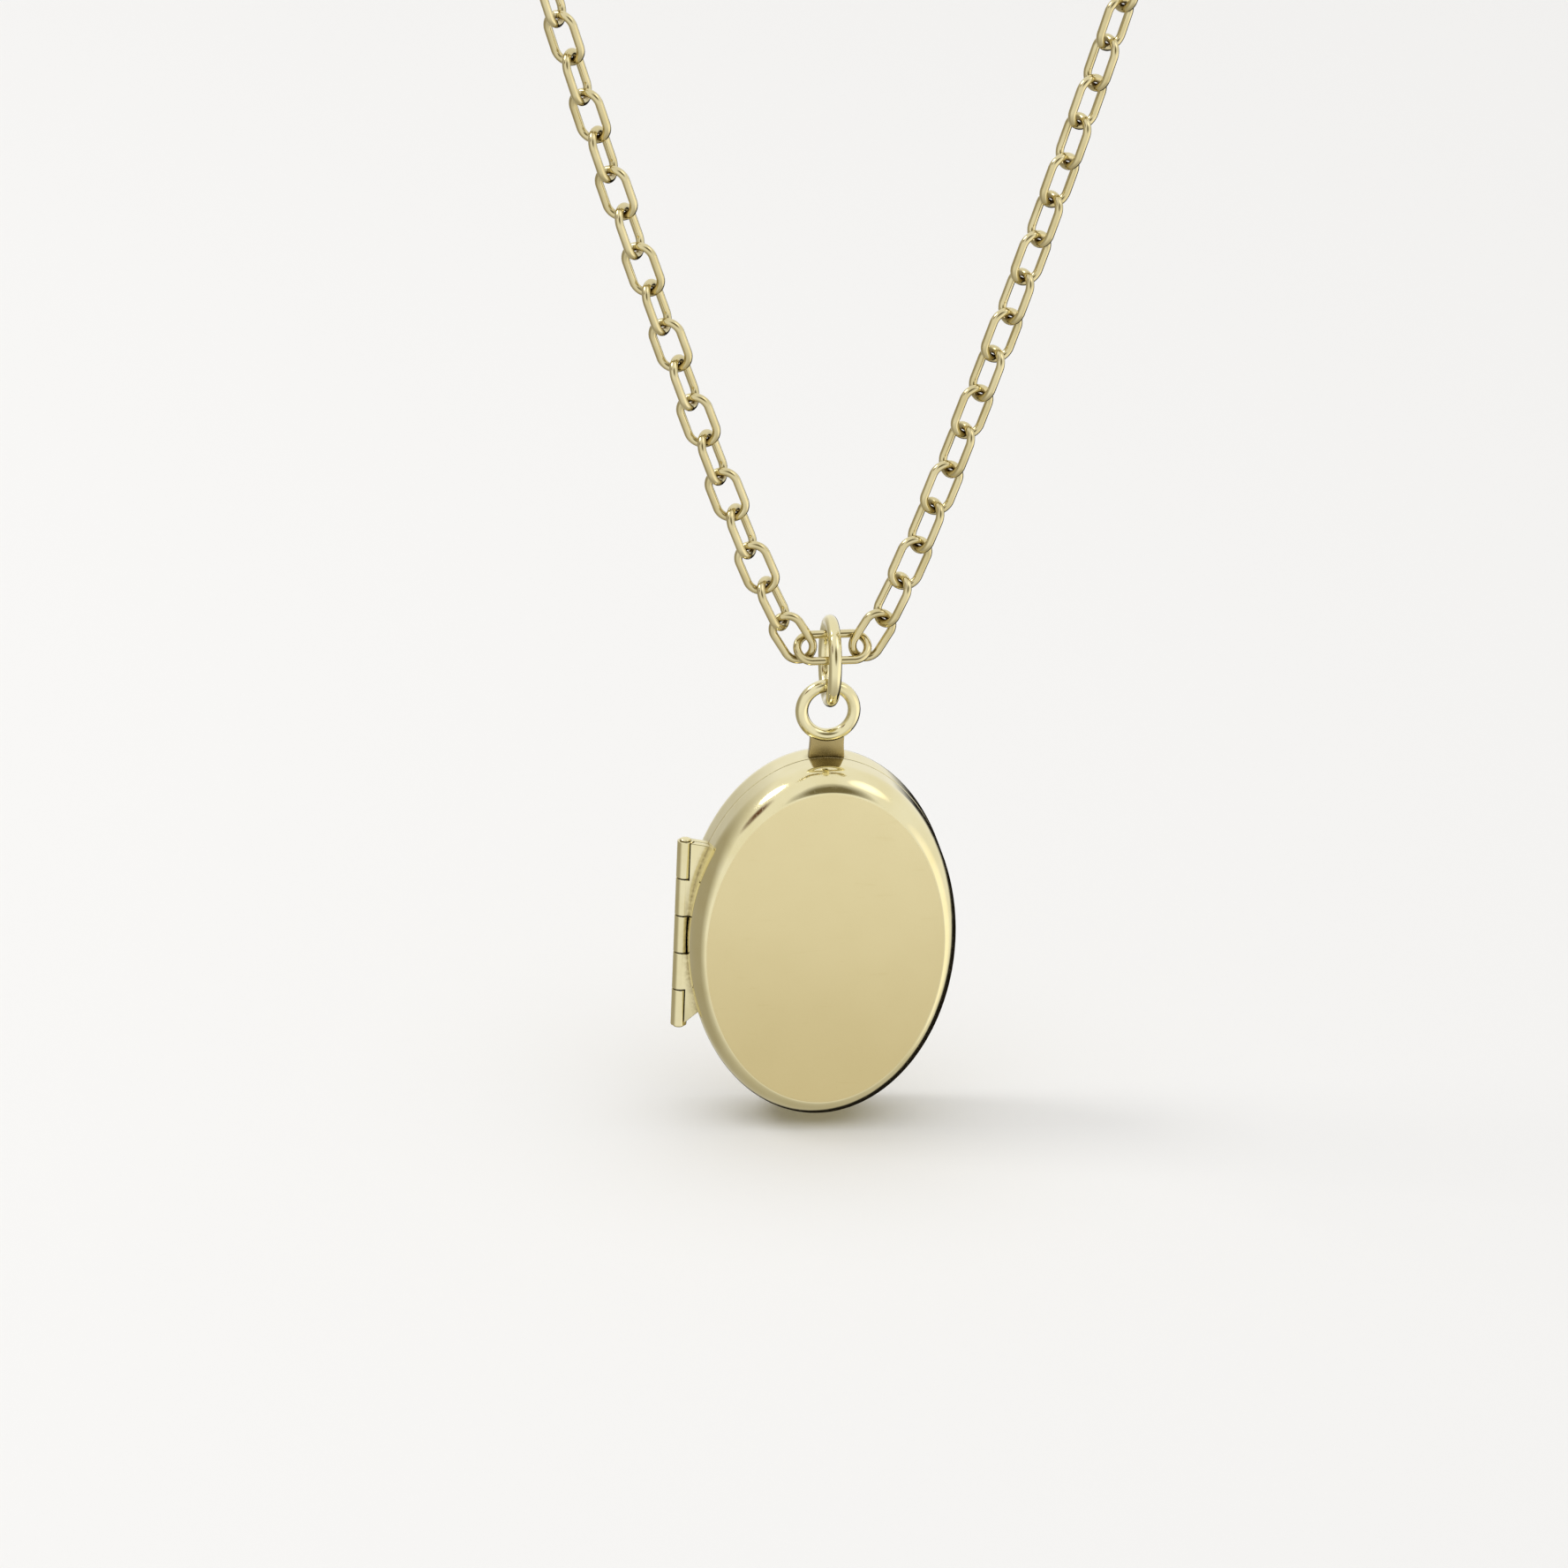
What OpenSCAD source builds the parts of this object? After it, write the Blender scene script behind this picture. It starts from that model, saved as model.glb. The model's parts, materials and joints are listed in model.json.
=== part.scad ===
// Oval hinged photo locket on a fine oval-link chain.
// Millimetres, +Z up. The flat front face looks along -Y and the hinge is at -X.
// The origin is plumb above the locket, level with the middle of the two end rings of the held chain.

/* [Locket] */
// Width of the closed locket across the oval
locket_w = 13; // [11:0.5:18]
// Height of the closed locket down the oval
locket_h = 18; // [15:0.5:24]
// Thickness of the closed locket from face to face
locket_t = 4.8; // [4:0.2:7]
// Sheet thickness of both shells
shell_wall = 0.35; // [0.25:0.05:0.45]
// Width of the rounded rim at the top of the oval, from the outline to the crease of the flat face
rim_w = 0.95; // [0.8:0.05:1.2]
// Radius of the rounded rim
rim_radius = 1.45; // [1.3:0.05:1.6]
// Gap between the two closed halves
seam = 0.04; // [0.02:0.01:0.08]
// Depth of the fingernail nick opposite the hinge
nick_depth = 0.18; // [0.1:0.02:0.22]
// Length of the fingernail nick
nick_l = 2.4; // [1.5:0.1:4]

/* [Inside] */
// Thickness of the raised catch rim
catch_wall = 0.25; // [0.2:0.05:0.35]
// Height of the catch rim above the parting plane
catch_h = 0.45; // [0.3:0.05:0.5]
// Height of the catch bead above the face of the catch rim
bead_h = 0.035; // [0.02:0.005:0.045]
// Width of each photograph frame
frame_w = 0.8; // [0.6:0.1:1.2]
// Thickness of each photograph frame
frame_t = 0.35; // [0.25:0.05:0.4]
// Depth of the top of each frame below the parting plane
frame_depth = 0.55; // [0.52:0.01:0.65]
// Thickness of each clear window
window_t = 0.18; // [0.1:0.02:0.2]
// Thickness of each blank picture card
card_t = 0.12; // [0.08:0.02:0.14]
// Sheet thickness of each lining plate
lining_t = 0.2; // [0.15:0.05:0.2]

/* [Hinge] */
// Outer diameter of the hinge knuckles
knuckle_d = 0.78; // [0.7:0.02:1]
// Distance of the hinge's axis outside the oval
hinge_out = 0.2; // [0.16:0.02:0.4]
// Length of the whole row of knuckles
hinge_l = 9.6; // [7:0.1:11]
// Number of knuckles, an odd number so that the back half holds both ends
knuckles = 5; // [3:2:7]
// Gap between two knuckles
knuckle_gap = 0.05; // [0.04:0.01:0.1]
// Diameter of the hinge pin
pin_d = 0.36; // [0.3:0.02:0.44]
// Radial play of the pin in the front knuckles
pin_play = 0.03; // [0.02:0.01:0.05]
// Diameter of the two riveted pin heads
pin_head_d = 0.56; // [0.5:0.02:0.7]

/* [Rings] */
// Inner diameter of the fixed ring on top of the back half
ring_bore = 1.92; // [1.8:0.02:2.6]
// Wire thickness of the fixed ring
ring_wire = 0.62; // [0.5:0.02:0.7]
// Height of the foot under the fixed ring
foot_h = 0.72; // [0.6:0.02:1]
// Width of the foot where it meets the locket
foot_w = 1.75; // [1.4:0.05:2.2]
// Width of the foot at its top
foot_top_w = 1.66; // [1.2:0.02:1.8]
// Thickness of the foot from front to back
foot_t = 0.44; // [0.36:0.02:0.6]
// Distance of the fixed ring behind the parting plane
ring_set_back = 0.33; // [0.3:0.01:0.5]
// Inner diameter of the jump ring
jump_bore = 3.18; // [3.1:0.02:4]
// Wire thickness of the jump ring
jump_wire = 0.64; // [0.5:0.02:0.7]

/* [Chain] */
// Wire thickness of the chain links
link_wire = 0.4; // [0.34:0.02:0.44]
// Inner length of one chain link
link_l = 2.05; // [1.9:0.05:2.6]
// Inner width of one chain link
link_w = 1; // [0.95:0.05:1.2]
// Number of links on each side, an odd number
side_links = 19; // [15:2:25]
// Inner length of the longer link at the middle of the chain
centre_l = 3; // [2.8:0.1:3.6]
// Tilt of the middle link from level, about its long axis
centre_tilt = 45; // [36:1:48]
// Play between two links
link_play = 0.03; // [0.02:0.01:0.04]
// Lean of the whole held chain to the right of the plumb line, in degrees
chain_swing = -1.65; // [-3:0.05:3]

/* [Clasp] */
// Diameter of the clasp ring on the centreline of its tube
clasp_d = 4; // [3.6:0.2:5]
// Outer diameter of the clasp tube
clasp_tube = 1.1; // [1:0.05:1.3]
// Sheet thickness of the clasp tube
clasp_wall = 0.16; // [0.12:0.02:0.2]
// Radial play of the bolt in the clasp tube
bolt_play = 0.05; // [0.03:0.01:0.08]
// Angle of the clasp's mouth, which is also how far its bolt slides back
mouth = 48; // [36:1:50]
// Inner diameter of the clasp's eye
eye_bore = 0.96; // [0.92:0.02:1.2]
// Wire thickness of the clasp's eye
eye_wire = 0.44; // [0.36:0.02:0.5]
// Inner diameter of the small rings at the chain's two ends
end_bore = 1.7; // [1.6:0.05:2.2]
// Wire thickness of the small rings at the chain's two ends
end_wire = 0.5; // [0.4:0.02:0.54]

/* [Hidden] */
$fn = 72;
oval_fn = 288;    // the large ovals take finer steps than the small rounds

gold = "#d9c07a";
satin = "#e0cb90";
steel = "silver";
solder = 0.02;    // film between two soldered pieces
air = 0.06;       // running clearance round the turning parts of the hinge

// ---- Shells
half_t = locket_t / 2;
// Depth at which the rounded rim starts, so that it ends at the crease of the flat face
arc_depth = half_t - sqrt(pow(rim_radius, 2) - pow(rim_radius - rim_w, 2));

// ---- Hinge
hinge_x = -locket_w / 2 - hinge_out;
knuckle_pitch = hinge_l / knuckles;
bearer_t = knuckle_d / 2;
// Reaches from the hinge's axis into the outline at both ends of the row
bearer_w = hinge_out + locket_w / 2 * (1 - sqrt(1 - pow(hinge_l / locket_h, 2))) + 0.2;
// Height at which the shell's curved edge parts from the straight knuckle row
bearer_from = locket_h / 2 * sqrt(1 - pow(1 - max(knuckle_d / 2 - hinge_out, 0) / (locket_w / 2), 2));
head_t = 0.12;

// ---- Inside, as depths below the parting plane
window_depth = frame_depth + frame_t;
card_depth = window_depth + window_t;
lining_depth = card_depth + card_t;
floor_depth = half_t - shell_wall;
catch_play = 0.06;
frame_inset = shell_wall + catch_play;
pane_inset = frame_inset + 0.1;
lining_inset = pane_inset + 0.15;
skirt_inset = rim_w + shell_wall + 0.5; // the lining's skirt stands inside the rounded rim

// ---- Rings, as heights above the middle of the locket
ring_play = 0.02; // between two hooked rings
foot_root = 0.4;  // how far the foot's block starts inside the outline, before it is cut to it
ring_r = (ring_bore + ring_wire) / 2;
ring_z = locket_h / 2 + foot_h + ring_bore / 2 + ring_wire;
jump_r = (jump_bore + jump_wire) / 2;
jump_z = ring_z + ring_bore / 2 - ring_play + jump_bore / 2;
bar_z = jump_z + jump_bore / 2 - ring_play - link_wire / 2;
link_arc = (link_w + link_wire) / 2;
centre_z = bar_z - link_arc * sin(centre_tilt);
chain_y = ring_set_back - link_arc * cos(centre_tilt);

// ---- Chain: each link leans out from upright by its own small angle
pitch = link_l - link_play;
last = side_links - 1;
function lean(i) = 17 + 4.3 * (1 - i / last) + 10 * pow(0.4, i);
function along(i) = [sin(lean(i)), 0, cos(lean(i))];
// The first link hooks up and out from the end of the middle one
hook_lean = 21.4;
hook_play = 0.024;
hook = link_l / 2 - link_wire - hook_play;
first_x = (centre_l + link_wire) / 2 + hook * sin(hook_lean);
first_place = [first_x, chain_y, centre_z + hook * cos(hook_lean)];
function place(i) = i == 0 ? first_place : place(i - 1) + (along(i - 1) + along(i)) * pitch / 2;
// Even links lie nearly flat to the front, and odd ones nearly on edge
function turn(i) = i % 2 == 0 ? 8 + 31 * i / last : -60;

// ---- Chain ends, as distances along the last link's own direction from its middle
end_r = (end_bore + end_wire) / 2;
end_at = link_l / 2 - end_wire / 2 - ring_play + end_r;
eye_r = (eye_bore + eye_wire) / 2;
eye_at = end_at + end_bore / 2 - ring_play - eye_wire / 2 + eye_r;
clasp_at = eye_at + eye_r + eye_wire / 2 + solder + clasp_tube / 2 + clasp_d / 2;
end_rise = place(last)[2] + end_at * cos(lean(last)) - bar_z;
hold_z = bar_z + end_rise * cos(chain_swing);

// ---- Clasp angles round its ring, counted from the eye and growing towards the opening
mouth_from = 135;
mouth_to = mouth_from + mouth;
bolt_tail = 102;
bolt_r = clasp_tube / 2 - clasp_wall - bolt_play;
knob_at = mouth_from - 17;
knob_d = 0.6;
knob_h = 0.75;
slot_from = knob_at - mouth - 11;
slot_w = knob_d + 2 * bolt_play;
bolt_gap = 1;     // between the closed bolt and the far side of the mouth
plug_l = 8;       // solid end of the tube at the far side of the mouth
spring_turns = 8;
spring_wire = 0.11;
spring_r = bolt_r - spring_wire / 2;
spring_from = 18;
spring_span = bolt_tail - spring_from - 3; // stops short of the bolt

// A solid of revolution about the Y axis, drawn out to the locket's oval.
// Its 2D children have x as the radius at the top of the oval and y as the depth from the seam.
module oval(inset) {
    scale([(locket_w / 2 - inset) / (locket_h / 2 - inset), 1, 1])
        rotate([90, 0, 0]) rotate_extrude() children();
}

// An oval plate between two depths
module plate(inset, from, to) {
    rotate([90, 0, 0]) translate([0, 0, from]) linear_extrude(to - from)
        scale([(locket_w / 2 - inset) / (locket_h / 2 - inset), 1])
            circle(locket_h / 2 - inset, $fn = oval_fn);
}

// An oval band between two depths
module band(inset, width, from, to) {
    difference() {
        plate(inset, from, to);
        plate(inset + width, from - 1, to + 1);
    }
}

// A rounded oval form between two depths: an upright side, a rounded rim and a flat face
module form(inset, from, to) {
    r = locket_h / 2 - inset;
    turn_r = rim_radius - inset;
    intersection() {
        oval(inset) {
            translate([0, -1]) square([r, arc_depth + 1]);
            translate([r - turn_r, arc_depth]) circle(turn_r);
            translate([0, -1]) square([r - turn_r, arc_depth + turn_r + 1]);
        }
        translate([-locket_h, -to, -locket_h]) cube([2 * locket_h, to - from, 2 * locket_h]);
    }
}

module hinge_rod(d, l) { translate([hinge_x, 0, 0]) cylinder(d = d, h = l, center = true); }

// Places children at the middle of every second knuckle, from the given one up
module at_knuckles(first) {
    for (i = [first:2:knuckles - 1])
        translate([0, 0, (i + 0.5 - knuckles / 2) * knuckle_pitch]) children();
}

// Room for the knuckle row: a seat for this half's own knuckles, and air round the other's
module hinge_room(other) {
    hinge_rod(knuckle_d + 2 * solder, hinge_l + 2 * air);
    at_knuckles(other) hinge_rod(knuckle_d + 2 * air, knuckle_pitch + 2 * air);
}

module nail_nick() {
    r = 0.6;
    translate([locket_w / 2 - nick_depth + r, 0, 0]) cylinder(r = r, h = nick_l, center = true);
}

module shell(other) {
    difference() {
        form(0, seam / 2, half_t);
        form(shell_wall, -1, floor_depth);
        hinge_room(other);
        nail_nick();
    }
}

// The two blocks that join the ends of the straight knuckle row to the curved edge of a shell
module bearer(other) {
    difference() {
        for (end = [0, 1]) mirror([0, 0, end]) translate([hinge_x, -bearer_t, bearer_from])
            cube([bearer_w, bearer_t - seam / 2, hinge_l / 2 - bearer_from]);
        plate(-solder, -1, half_t);
        hinge_room(other);
    }
}

module knuckle_row(first, bore) {
    at_knuckles(first) difference() {
        hinge_rod(knuckle_d, knuckle_pitch - knuckle_gap);
        hinge_rod(bore, knuckle_pitch);
    }
}

module frame() { band(frame_inset, frame_w, frame_depth, window_depth); }

module lining() {
    plate(lining_inset, lining_depth, lining_depth + lining_t);
    band(skirt_inset, lining_t, lining_depth + lining_t, floor_depth);
}

module on_back() { mirror([0, 1, 0]) children(); }

// Moves children from the middle of the locket to the hanging frame
module hung() { translate([0, 0, -hold_z]) children(); }

// Leans children with the held chain, about the bar that the jump ring hangs on
module held() {
    hung() translate([0, 0, bar_z]) rotate([0, chain_swing, 0]) translate([0, 0, -bar_z]) children();
}

module back_shell() { color(gold) hung() on_back() shell(1); }
module front_shell() { color(satin) hung() shell(0); }
module back_bearer() { color(gold) hung() on_back() bearer(1); }
module front_bearer() { color(gold) hung() bearer(0); }
module back_knuckles() { color(gold) hung() knuckle_row(0, pin_d + 2 * solder); }
module front_knuckles() { color(gold) hung() knuckle_row(1, pin_d + 2 * pin_play); }
module back_lining() { color(gold) hung() on_back() lining(); }
module front_lining() { color(gold) hung() lining(); }
module back_card() { color("ivory") hung() on_back() plate(pane_inset, card_depth, lining_depth); }
module front_card() { color("ivory") hung() plate(pane_inset, card_depth, lining_depth); }
module back_window() { color("azure") hung() on_back() plate(pane_inset, window_depth, card_depth); }
module front_window() { color("azure") hung() plate(pane_inset, window_depth, card_depth); }
module back_frame() { color(gold) hung() on_back() frame(); }
module front_frame() { color(gold) hung() frame(); }

module hinge_pin() {
    color(gold) hung() {
        hinge_rod(pin_d, hinge_l);
        for (end = [0, 1]) mirror([0, 0, end])
            translate([0, 0, (hinge_l + head_t) / 2]) hinge_rod(pin_head_d, head_t);
    }
}

// A raised wall inside the back half, which the front half closes over
module catch_rim() {
    bead_l = 2;
    color(gold) hung() {
        on_back() band(shell_wall + solder, catch_wall, -solder, frame_depth - solder);
        band(shell_wall + catch_play, catch_wall - catch_play, 0, catch_h);
        translate([locket_w / 2 - shell_wall - catch_play, -catch_h / 2, 0])
            cylinder(r = bead_h, h = bead_l, center = true);
    }
}

// A ring of round wire that faces the front
module wire_ring(r, wire, turned = 0) {
    rotate([0, 0, turned]) rotate([90, 0, 0]) rotate_extrude() translate([r, 0]) circle(d = wire);
}

module fixed_ring() {
    color(gold) hung() translate([0, ring_set_back, ring_z]) wire_ring(ring_r, ring_wire);
}

module ring_foot() {
    top_z = locket_h / 2 + foot_h + ring_wire / 2;
    low_z = locket_h / 2 - foot_root;
    color(gold) hung() difference() {
        translate([0, ring_set_back + foot_t / 2, 0]) rotate([90, 0, 0]) linear_extrude(foot_t)
            polygon([[-foot_w / 2, low_z], [foot_w / 2, low_z], [foot_top_w / 2, top_z],
                [-foot_top_w / 2, top_z]]);
        on_back() plate(-solder, -1, half_t);
        translate([0, ring_set_back, ring_z]) wire_ring(ring_r, ring_wire + 2 * solder);
        translate([0, ring_set_back, ring_z]) rotate([90, 0, 0]) cylinder(r = ring_r, h = 2, center = true);
    }
}

module jump_ring() {
    color(gold) hung() translate([0, ring_set_back, jump_z]) wire_ring(jump_r, jump_wire, 90);
}

// An oval link of round wire, long along Z and facing the front
module link(inner_l, inner_w, wire) {
    arc = (inner_w + wire) / 2;
    straight = inner_l - inner_w;
    for (side = [-1, 1])
        translate([side * arc, 0, 0]) cylinder(d = wire, h = straight, center = true);
    for (end = [0, 180]) rotate([0, end, 0]) translate([0, 0, straight / 2])
        rotate([90, 0, 0]) rotate_extrude(angle = 180) translate([arc, 0]) circle(d = wire);
}

module centre_link() {
    color(gold) held() translate([0, chain_y, centre_z])
        rotate([centre_tilt - 90, 0, 0]) rotate([0, 90, 0]) link(centre_l, link_w, link_wire);
}

// The right-hand side of the chain. The left one is its mirror image.
module side_chain() {
    for (i = [0:last]) translate(place(i)) rotate([0, lean(i), 0]) rotate([0, 0, turn(i)])
        link(link_l, link_w, link_wire);
}

// Places children past the last link of the right-hand side, in line with it
module at_end(distance) {
    translate(place(last)) rotate([0, lean(last), 0]) translate([0, 0, distance]) children();
}

module to_left() { mirror([1, 0, 0]) children(); }

module right_chain() { color(gold) held() side_chain(); }
module left_chain() { color(gold) held() to_left() side_chain(); }
module end_ring() { at_end(end_at) wire_ring(end_r, end_wire, 90 + turn(last) / 2); }
module right_end_ring() { color(gold) held() end_ring(); }
module left_end_ring() { color(gold) held() to_left() end_ring(); }

module clasp_eye() { color(gold) held() to_left() at_end(eye_at) wire_ring(eye_r, eye_wire); }

// A bent bar round the clasp ring, between two angles counted from the eye
module round_clasp(from, to, r) {
    rotate([90, 0, 0]) rotate(from - 90) rotate_extrude(angle = to - from)
        translate([clasp_d / 2, 0]) circle(r);
}

module in_clasp() { held() to_left() at_end(clasp_at) children(); }

module clasp_body() {
    color(gold) in_clasp() difference() {
        round_clasp(mouth_to, 360 + mouth_from, clasp_tube / 2);
        round_clasp(mouth_to + plug_l, 361 + mouth_from, clasp_tube / 2 - clasp_wall);
        rotate([90, 0, 0]) rotate(slot_from - 90) rotate_extrude(angle = mouth_from - slot_from + 1)
            translate([clasp_d / 2, -slot_w / 2]) square([clasp_tube, slot_w]);
    }
}

module clasp_bolt() {
    knob_r = clasp_d / 2 + clasp_tube / 2 + knob_h;
    color(gold) in_clasp() {
        round_clasp(bolt_tail, mouth_to - bolt_gap, bolt_r);
        rotate([90, 0, 0]) rotate(knob_at - 90) translate([clasp_d / 2, 0, 0])
            rotate([0, 90, 0]) cylinder(d = knob_d, h = knob_r - clasp_d / 2);
    }
}

// Points of one ring of the spring wire at angle t along the coil
function coil_point(t) =
    let (round = (spring_from + spring_span * t / (360 * spring_turns)) - 90,
         out = clasp_d / 2 + spring_r * cos(t))
    [out * cos(round), spring_r * sin(t), out * sin(round)];

module clasp_spring() {
    sides = 6;
    steps = spring_turns * 12;
    rings = [for (k = [0:steps])
        let (t = 360 * spring_turns * k / steps, here = coil_point(t),
             ahead = coil_point(t + 1) - coil_point(t - 1), way = ahead / norm(ahead),
             side = cross(way, [0, 0, 1]), a = side / norm(side), b = cross(way, a))
        [for (s = [0:sides - 1])
            here + spring_wire / 2 * (a * cos(360 * s / sides) + b * sin(360 * s / sides))]];
    points = [for (ring = rings) for (p = ring) p];
    walls = [for (k = [0:steps - 1]) for (s = [0:sides - 1])
        [k * sides + s, k * sides + (s + 1) % sides, (k + 1) * sides + (s + 1) % sides,
         (k + 1) * sides + s]];
    caps = [[for (s = [sides - 1:-1:0]) s], [for (s = [0:sides - 1]) steps * sides + s]];
    color(steel) in_clasp() polyhedron(points, concat(walls, caps));
}

back_shell();
back_bearer();
back_knuckles();
hinge_pin();
catch_rim();
back_lining();
back_card();
back_window();
back_frame();
ring_foot();
fixed_ring();
front_shell();
front_bearer();
front_knuckles();
front_lining();
front_card();
front_window();
front_frame();
jump_ring();
centre_link();
left_chain();
right_chain();
left_end_ring();
right_end_ring();
clasp_eye();
clasp_body();
clasp_bolt();
clasp_spring();
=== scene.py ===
"""An oval hinged locket in pale gold, hanging from a fine oval-link chain.

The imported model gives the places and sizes. This script models the pieces that show as smooth
goldsmith's work and dresses every piece. It then sets a plain studio round them.
"""

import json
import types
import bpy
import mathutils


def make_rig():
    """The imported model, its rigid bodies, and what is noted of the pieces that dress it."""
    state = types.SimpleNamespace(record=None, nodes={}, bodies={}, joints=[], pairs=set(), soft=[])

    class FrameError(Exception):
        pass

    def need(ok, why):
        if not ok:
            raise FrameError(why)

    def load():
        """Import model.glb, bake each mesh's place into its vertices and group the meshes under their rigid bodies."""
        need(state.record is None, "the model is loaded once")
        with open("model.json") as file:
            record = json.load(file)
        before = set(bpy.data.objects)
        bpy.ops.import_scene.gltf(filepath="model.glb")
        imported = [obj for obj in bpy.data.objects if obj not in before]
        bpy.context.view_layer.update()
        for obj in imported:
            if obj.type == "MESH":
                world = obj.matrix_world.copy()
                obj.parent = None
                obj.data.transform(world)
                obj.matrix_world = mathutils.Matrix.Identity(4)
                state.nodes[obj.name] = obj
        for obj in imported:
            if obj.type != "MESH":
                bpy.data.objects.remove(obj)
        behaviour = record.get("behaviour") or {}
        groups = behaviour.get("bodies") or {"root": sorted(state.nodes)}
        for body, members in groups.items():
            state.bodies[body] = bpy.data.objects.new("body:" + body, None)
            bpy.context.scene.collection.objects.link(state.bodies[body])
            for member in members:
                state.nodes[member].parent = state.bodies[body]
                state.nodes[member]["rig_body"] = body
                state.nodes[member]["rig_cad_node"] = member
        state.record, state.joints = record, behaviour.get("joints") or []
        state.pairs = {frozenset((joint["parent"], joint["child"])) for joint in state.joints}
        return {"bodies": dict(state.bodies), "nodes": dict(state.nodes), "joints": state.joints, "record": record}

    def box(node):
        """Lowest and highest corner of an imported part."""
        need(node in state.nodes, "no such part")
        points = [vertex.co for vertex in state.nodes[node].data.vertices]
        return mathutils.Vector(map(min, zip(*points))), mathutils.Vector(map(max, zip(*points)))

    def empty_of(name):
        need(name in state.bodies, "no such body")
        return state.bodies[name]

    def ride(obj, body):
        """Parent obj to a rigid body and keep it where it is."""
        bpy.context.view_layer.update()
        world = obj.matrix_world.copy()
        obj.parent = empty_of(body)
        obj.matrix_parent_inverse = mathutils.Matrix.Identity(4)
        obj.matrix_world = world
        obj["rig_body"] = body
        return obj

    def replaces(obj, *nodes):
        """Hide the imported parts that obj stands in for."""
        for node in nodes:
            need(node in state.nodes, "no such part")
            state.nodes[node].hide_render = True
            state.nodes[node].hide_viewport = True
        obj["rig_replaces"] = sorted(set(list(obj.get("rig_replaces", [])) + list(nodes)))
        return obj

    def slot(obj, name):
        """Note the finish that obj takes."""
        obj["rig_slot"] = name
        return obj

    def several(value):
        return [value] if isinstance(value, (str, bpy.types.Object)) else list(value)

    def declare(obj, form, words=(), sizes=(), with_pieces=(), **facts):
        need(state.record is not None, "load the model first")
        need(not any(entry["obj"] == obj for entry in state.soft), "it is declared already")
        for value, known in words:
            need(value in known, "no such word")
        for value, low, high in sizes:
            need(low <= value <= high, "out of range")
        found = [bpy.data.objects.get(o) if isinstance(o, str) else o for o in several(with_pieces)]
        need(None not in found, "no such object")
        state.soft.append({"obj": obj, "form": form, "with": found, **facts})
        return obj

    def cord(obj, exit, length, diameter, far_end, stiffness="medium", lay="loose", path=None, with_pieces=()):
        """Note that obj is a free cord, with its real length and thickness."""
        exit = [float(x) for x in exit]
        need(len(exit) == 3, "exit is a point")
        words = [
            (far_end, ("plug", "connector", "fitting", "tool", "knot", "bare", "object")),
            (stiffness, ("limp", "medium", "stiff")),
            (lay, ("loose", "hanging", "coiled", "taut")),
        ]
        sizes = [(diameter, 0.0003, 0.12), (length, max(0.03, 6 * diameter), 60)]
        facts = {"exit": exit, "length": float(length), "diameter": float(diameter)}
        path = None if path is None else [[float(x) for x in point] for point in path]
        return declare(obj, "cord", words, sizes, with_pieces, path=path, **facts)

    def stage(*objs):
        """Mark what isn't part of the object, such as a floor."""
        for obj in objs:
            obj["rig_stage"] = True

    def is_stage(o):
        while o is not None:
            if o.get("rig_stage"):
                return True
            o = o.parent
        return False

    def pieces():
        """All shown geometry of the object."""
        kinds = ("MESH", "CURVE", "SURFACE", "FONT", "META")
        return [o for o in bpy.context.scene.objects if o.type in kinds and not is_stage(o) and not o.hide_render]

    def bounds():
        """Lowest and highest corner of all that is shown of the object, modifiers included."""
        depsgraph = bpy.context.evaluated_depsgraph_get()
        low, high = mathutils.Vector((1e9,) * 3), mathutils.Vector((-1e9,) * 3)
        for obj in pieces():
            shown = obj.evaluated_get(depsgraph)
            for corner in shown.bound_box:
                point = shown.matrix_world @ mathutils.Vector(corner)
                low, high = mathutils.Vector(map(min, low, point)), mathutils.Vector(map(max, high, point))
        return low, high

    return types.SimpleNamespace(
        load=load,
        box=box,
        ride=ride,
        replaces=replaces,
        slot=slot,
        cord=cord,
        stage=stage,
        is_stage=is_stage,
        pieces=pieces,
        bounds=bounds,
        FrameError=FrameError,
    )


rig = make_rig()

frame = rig.load()

import json
import logging
import math
from collections.abc import Callable, Iterable, Sequence
from dataclasses import dataclass, field
from enum import Enum

import bmesh
import bpy
from mathutils import Matrix, Vector

LOG = logging.getLogger("locket")
CAD_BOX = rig.bounds()
MM = 0.001
Ring = tuple[float, float, float]
Colour = tuple[float, float, float]
Value = bpy.types.NodeSocket | float | Colour


def box_of(node: str) -> tuple[Vector, Vector]:
    """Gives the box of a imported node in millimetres.

    Args:
        node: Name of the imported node.

    Returns:
        Its lowest and highest corner.
    """
    low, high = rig.box(node)
    return low / MM, high / MM


def middle_of(node: str) -> Vector:
    """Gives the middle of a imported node's box in millimetres."""
    low, high = box_of(node)
    return (low + high) / 2


# The closed locket's own middle: half way up the shells, on the parting plane
LOCKET_MIDDLE = Vector((0, 0, middle_of("front_shell").z))
# Half the width and half the height of the locket's oval, in millimetres
HALF_WIDE = 6.5
HALF_TALL = 9.0
# How edges are drawn in a section, in millimetres: the radius of a softened edge, where the middle of
# its arc lies as a share of that radius, and how far off the next point holds the edge
SOFT_EDGE = 0.03
ARC_MIDDLE = 0.3
HOLD = 0.02


class Half(Enum):
    """The two halves of the locket, by the way that they face."""

    FRONT = 1
    BACK = -1

    @property
    def word(self) -> str:
        """The half's word in the names of its pieces."""
        return self.name.lower()

    @property
    def body(self) -> str:
        """The body that the half's pieces ride on."""
        return "front_cover" if self is Half.FRONT else "locket_back"


class Side(Enum):
    """The two sides of the chain, as seen from the front."""

    RIGHT = 1
    LEFT = -1


# ---------------------------------------------------------------- Bench


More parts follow.
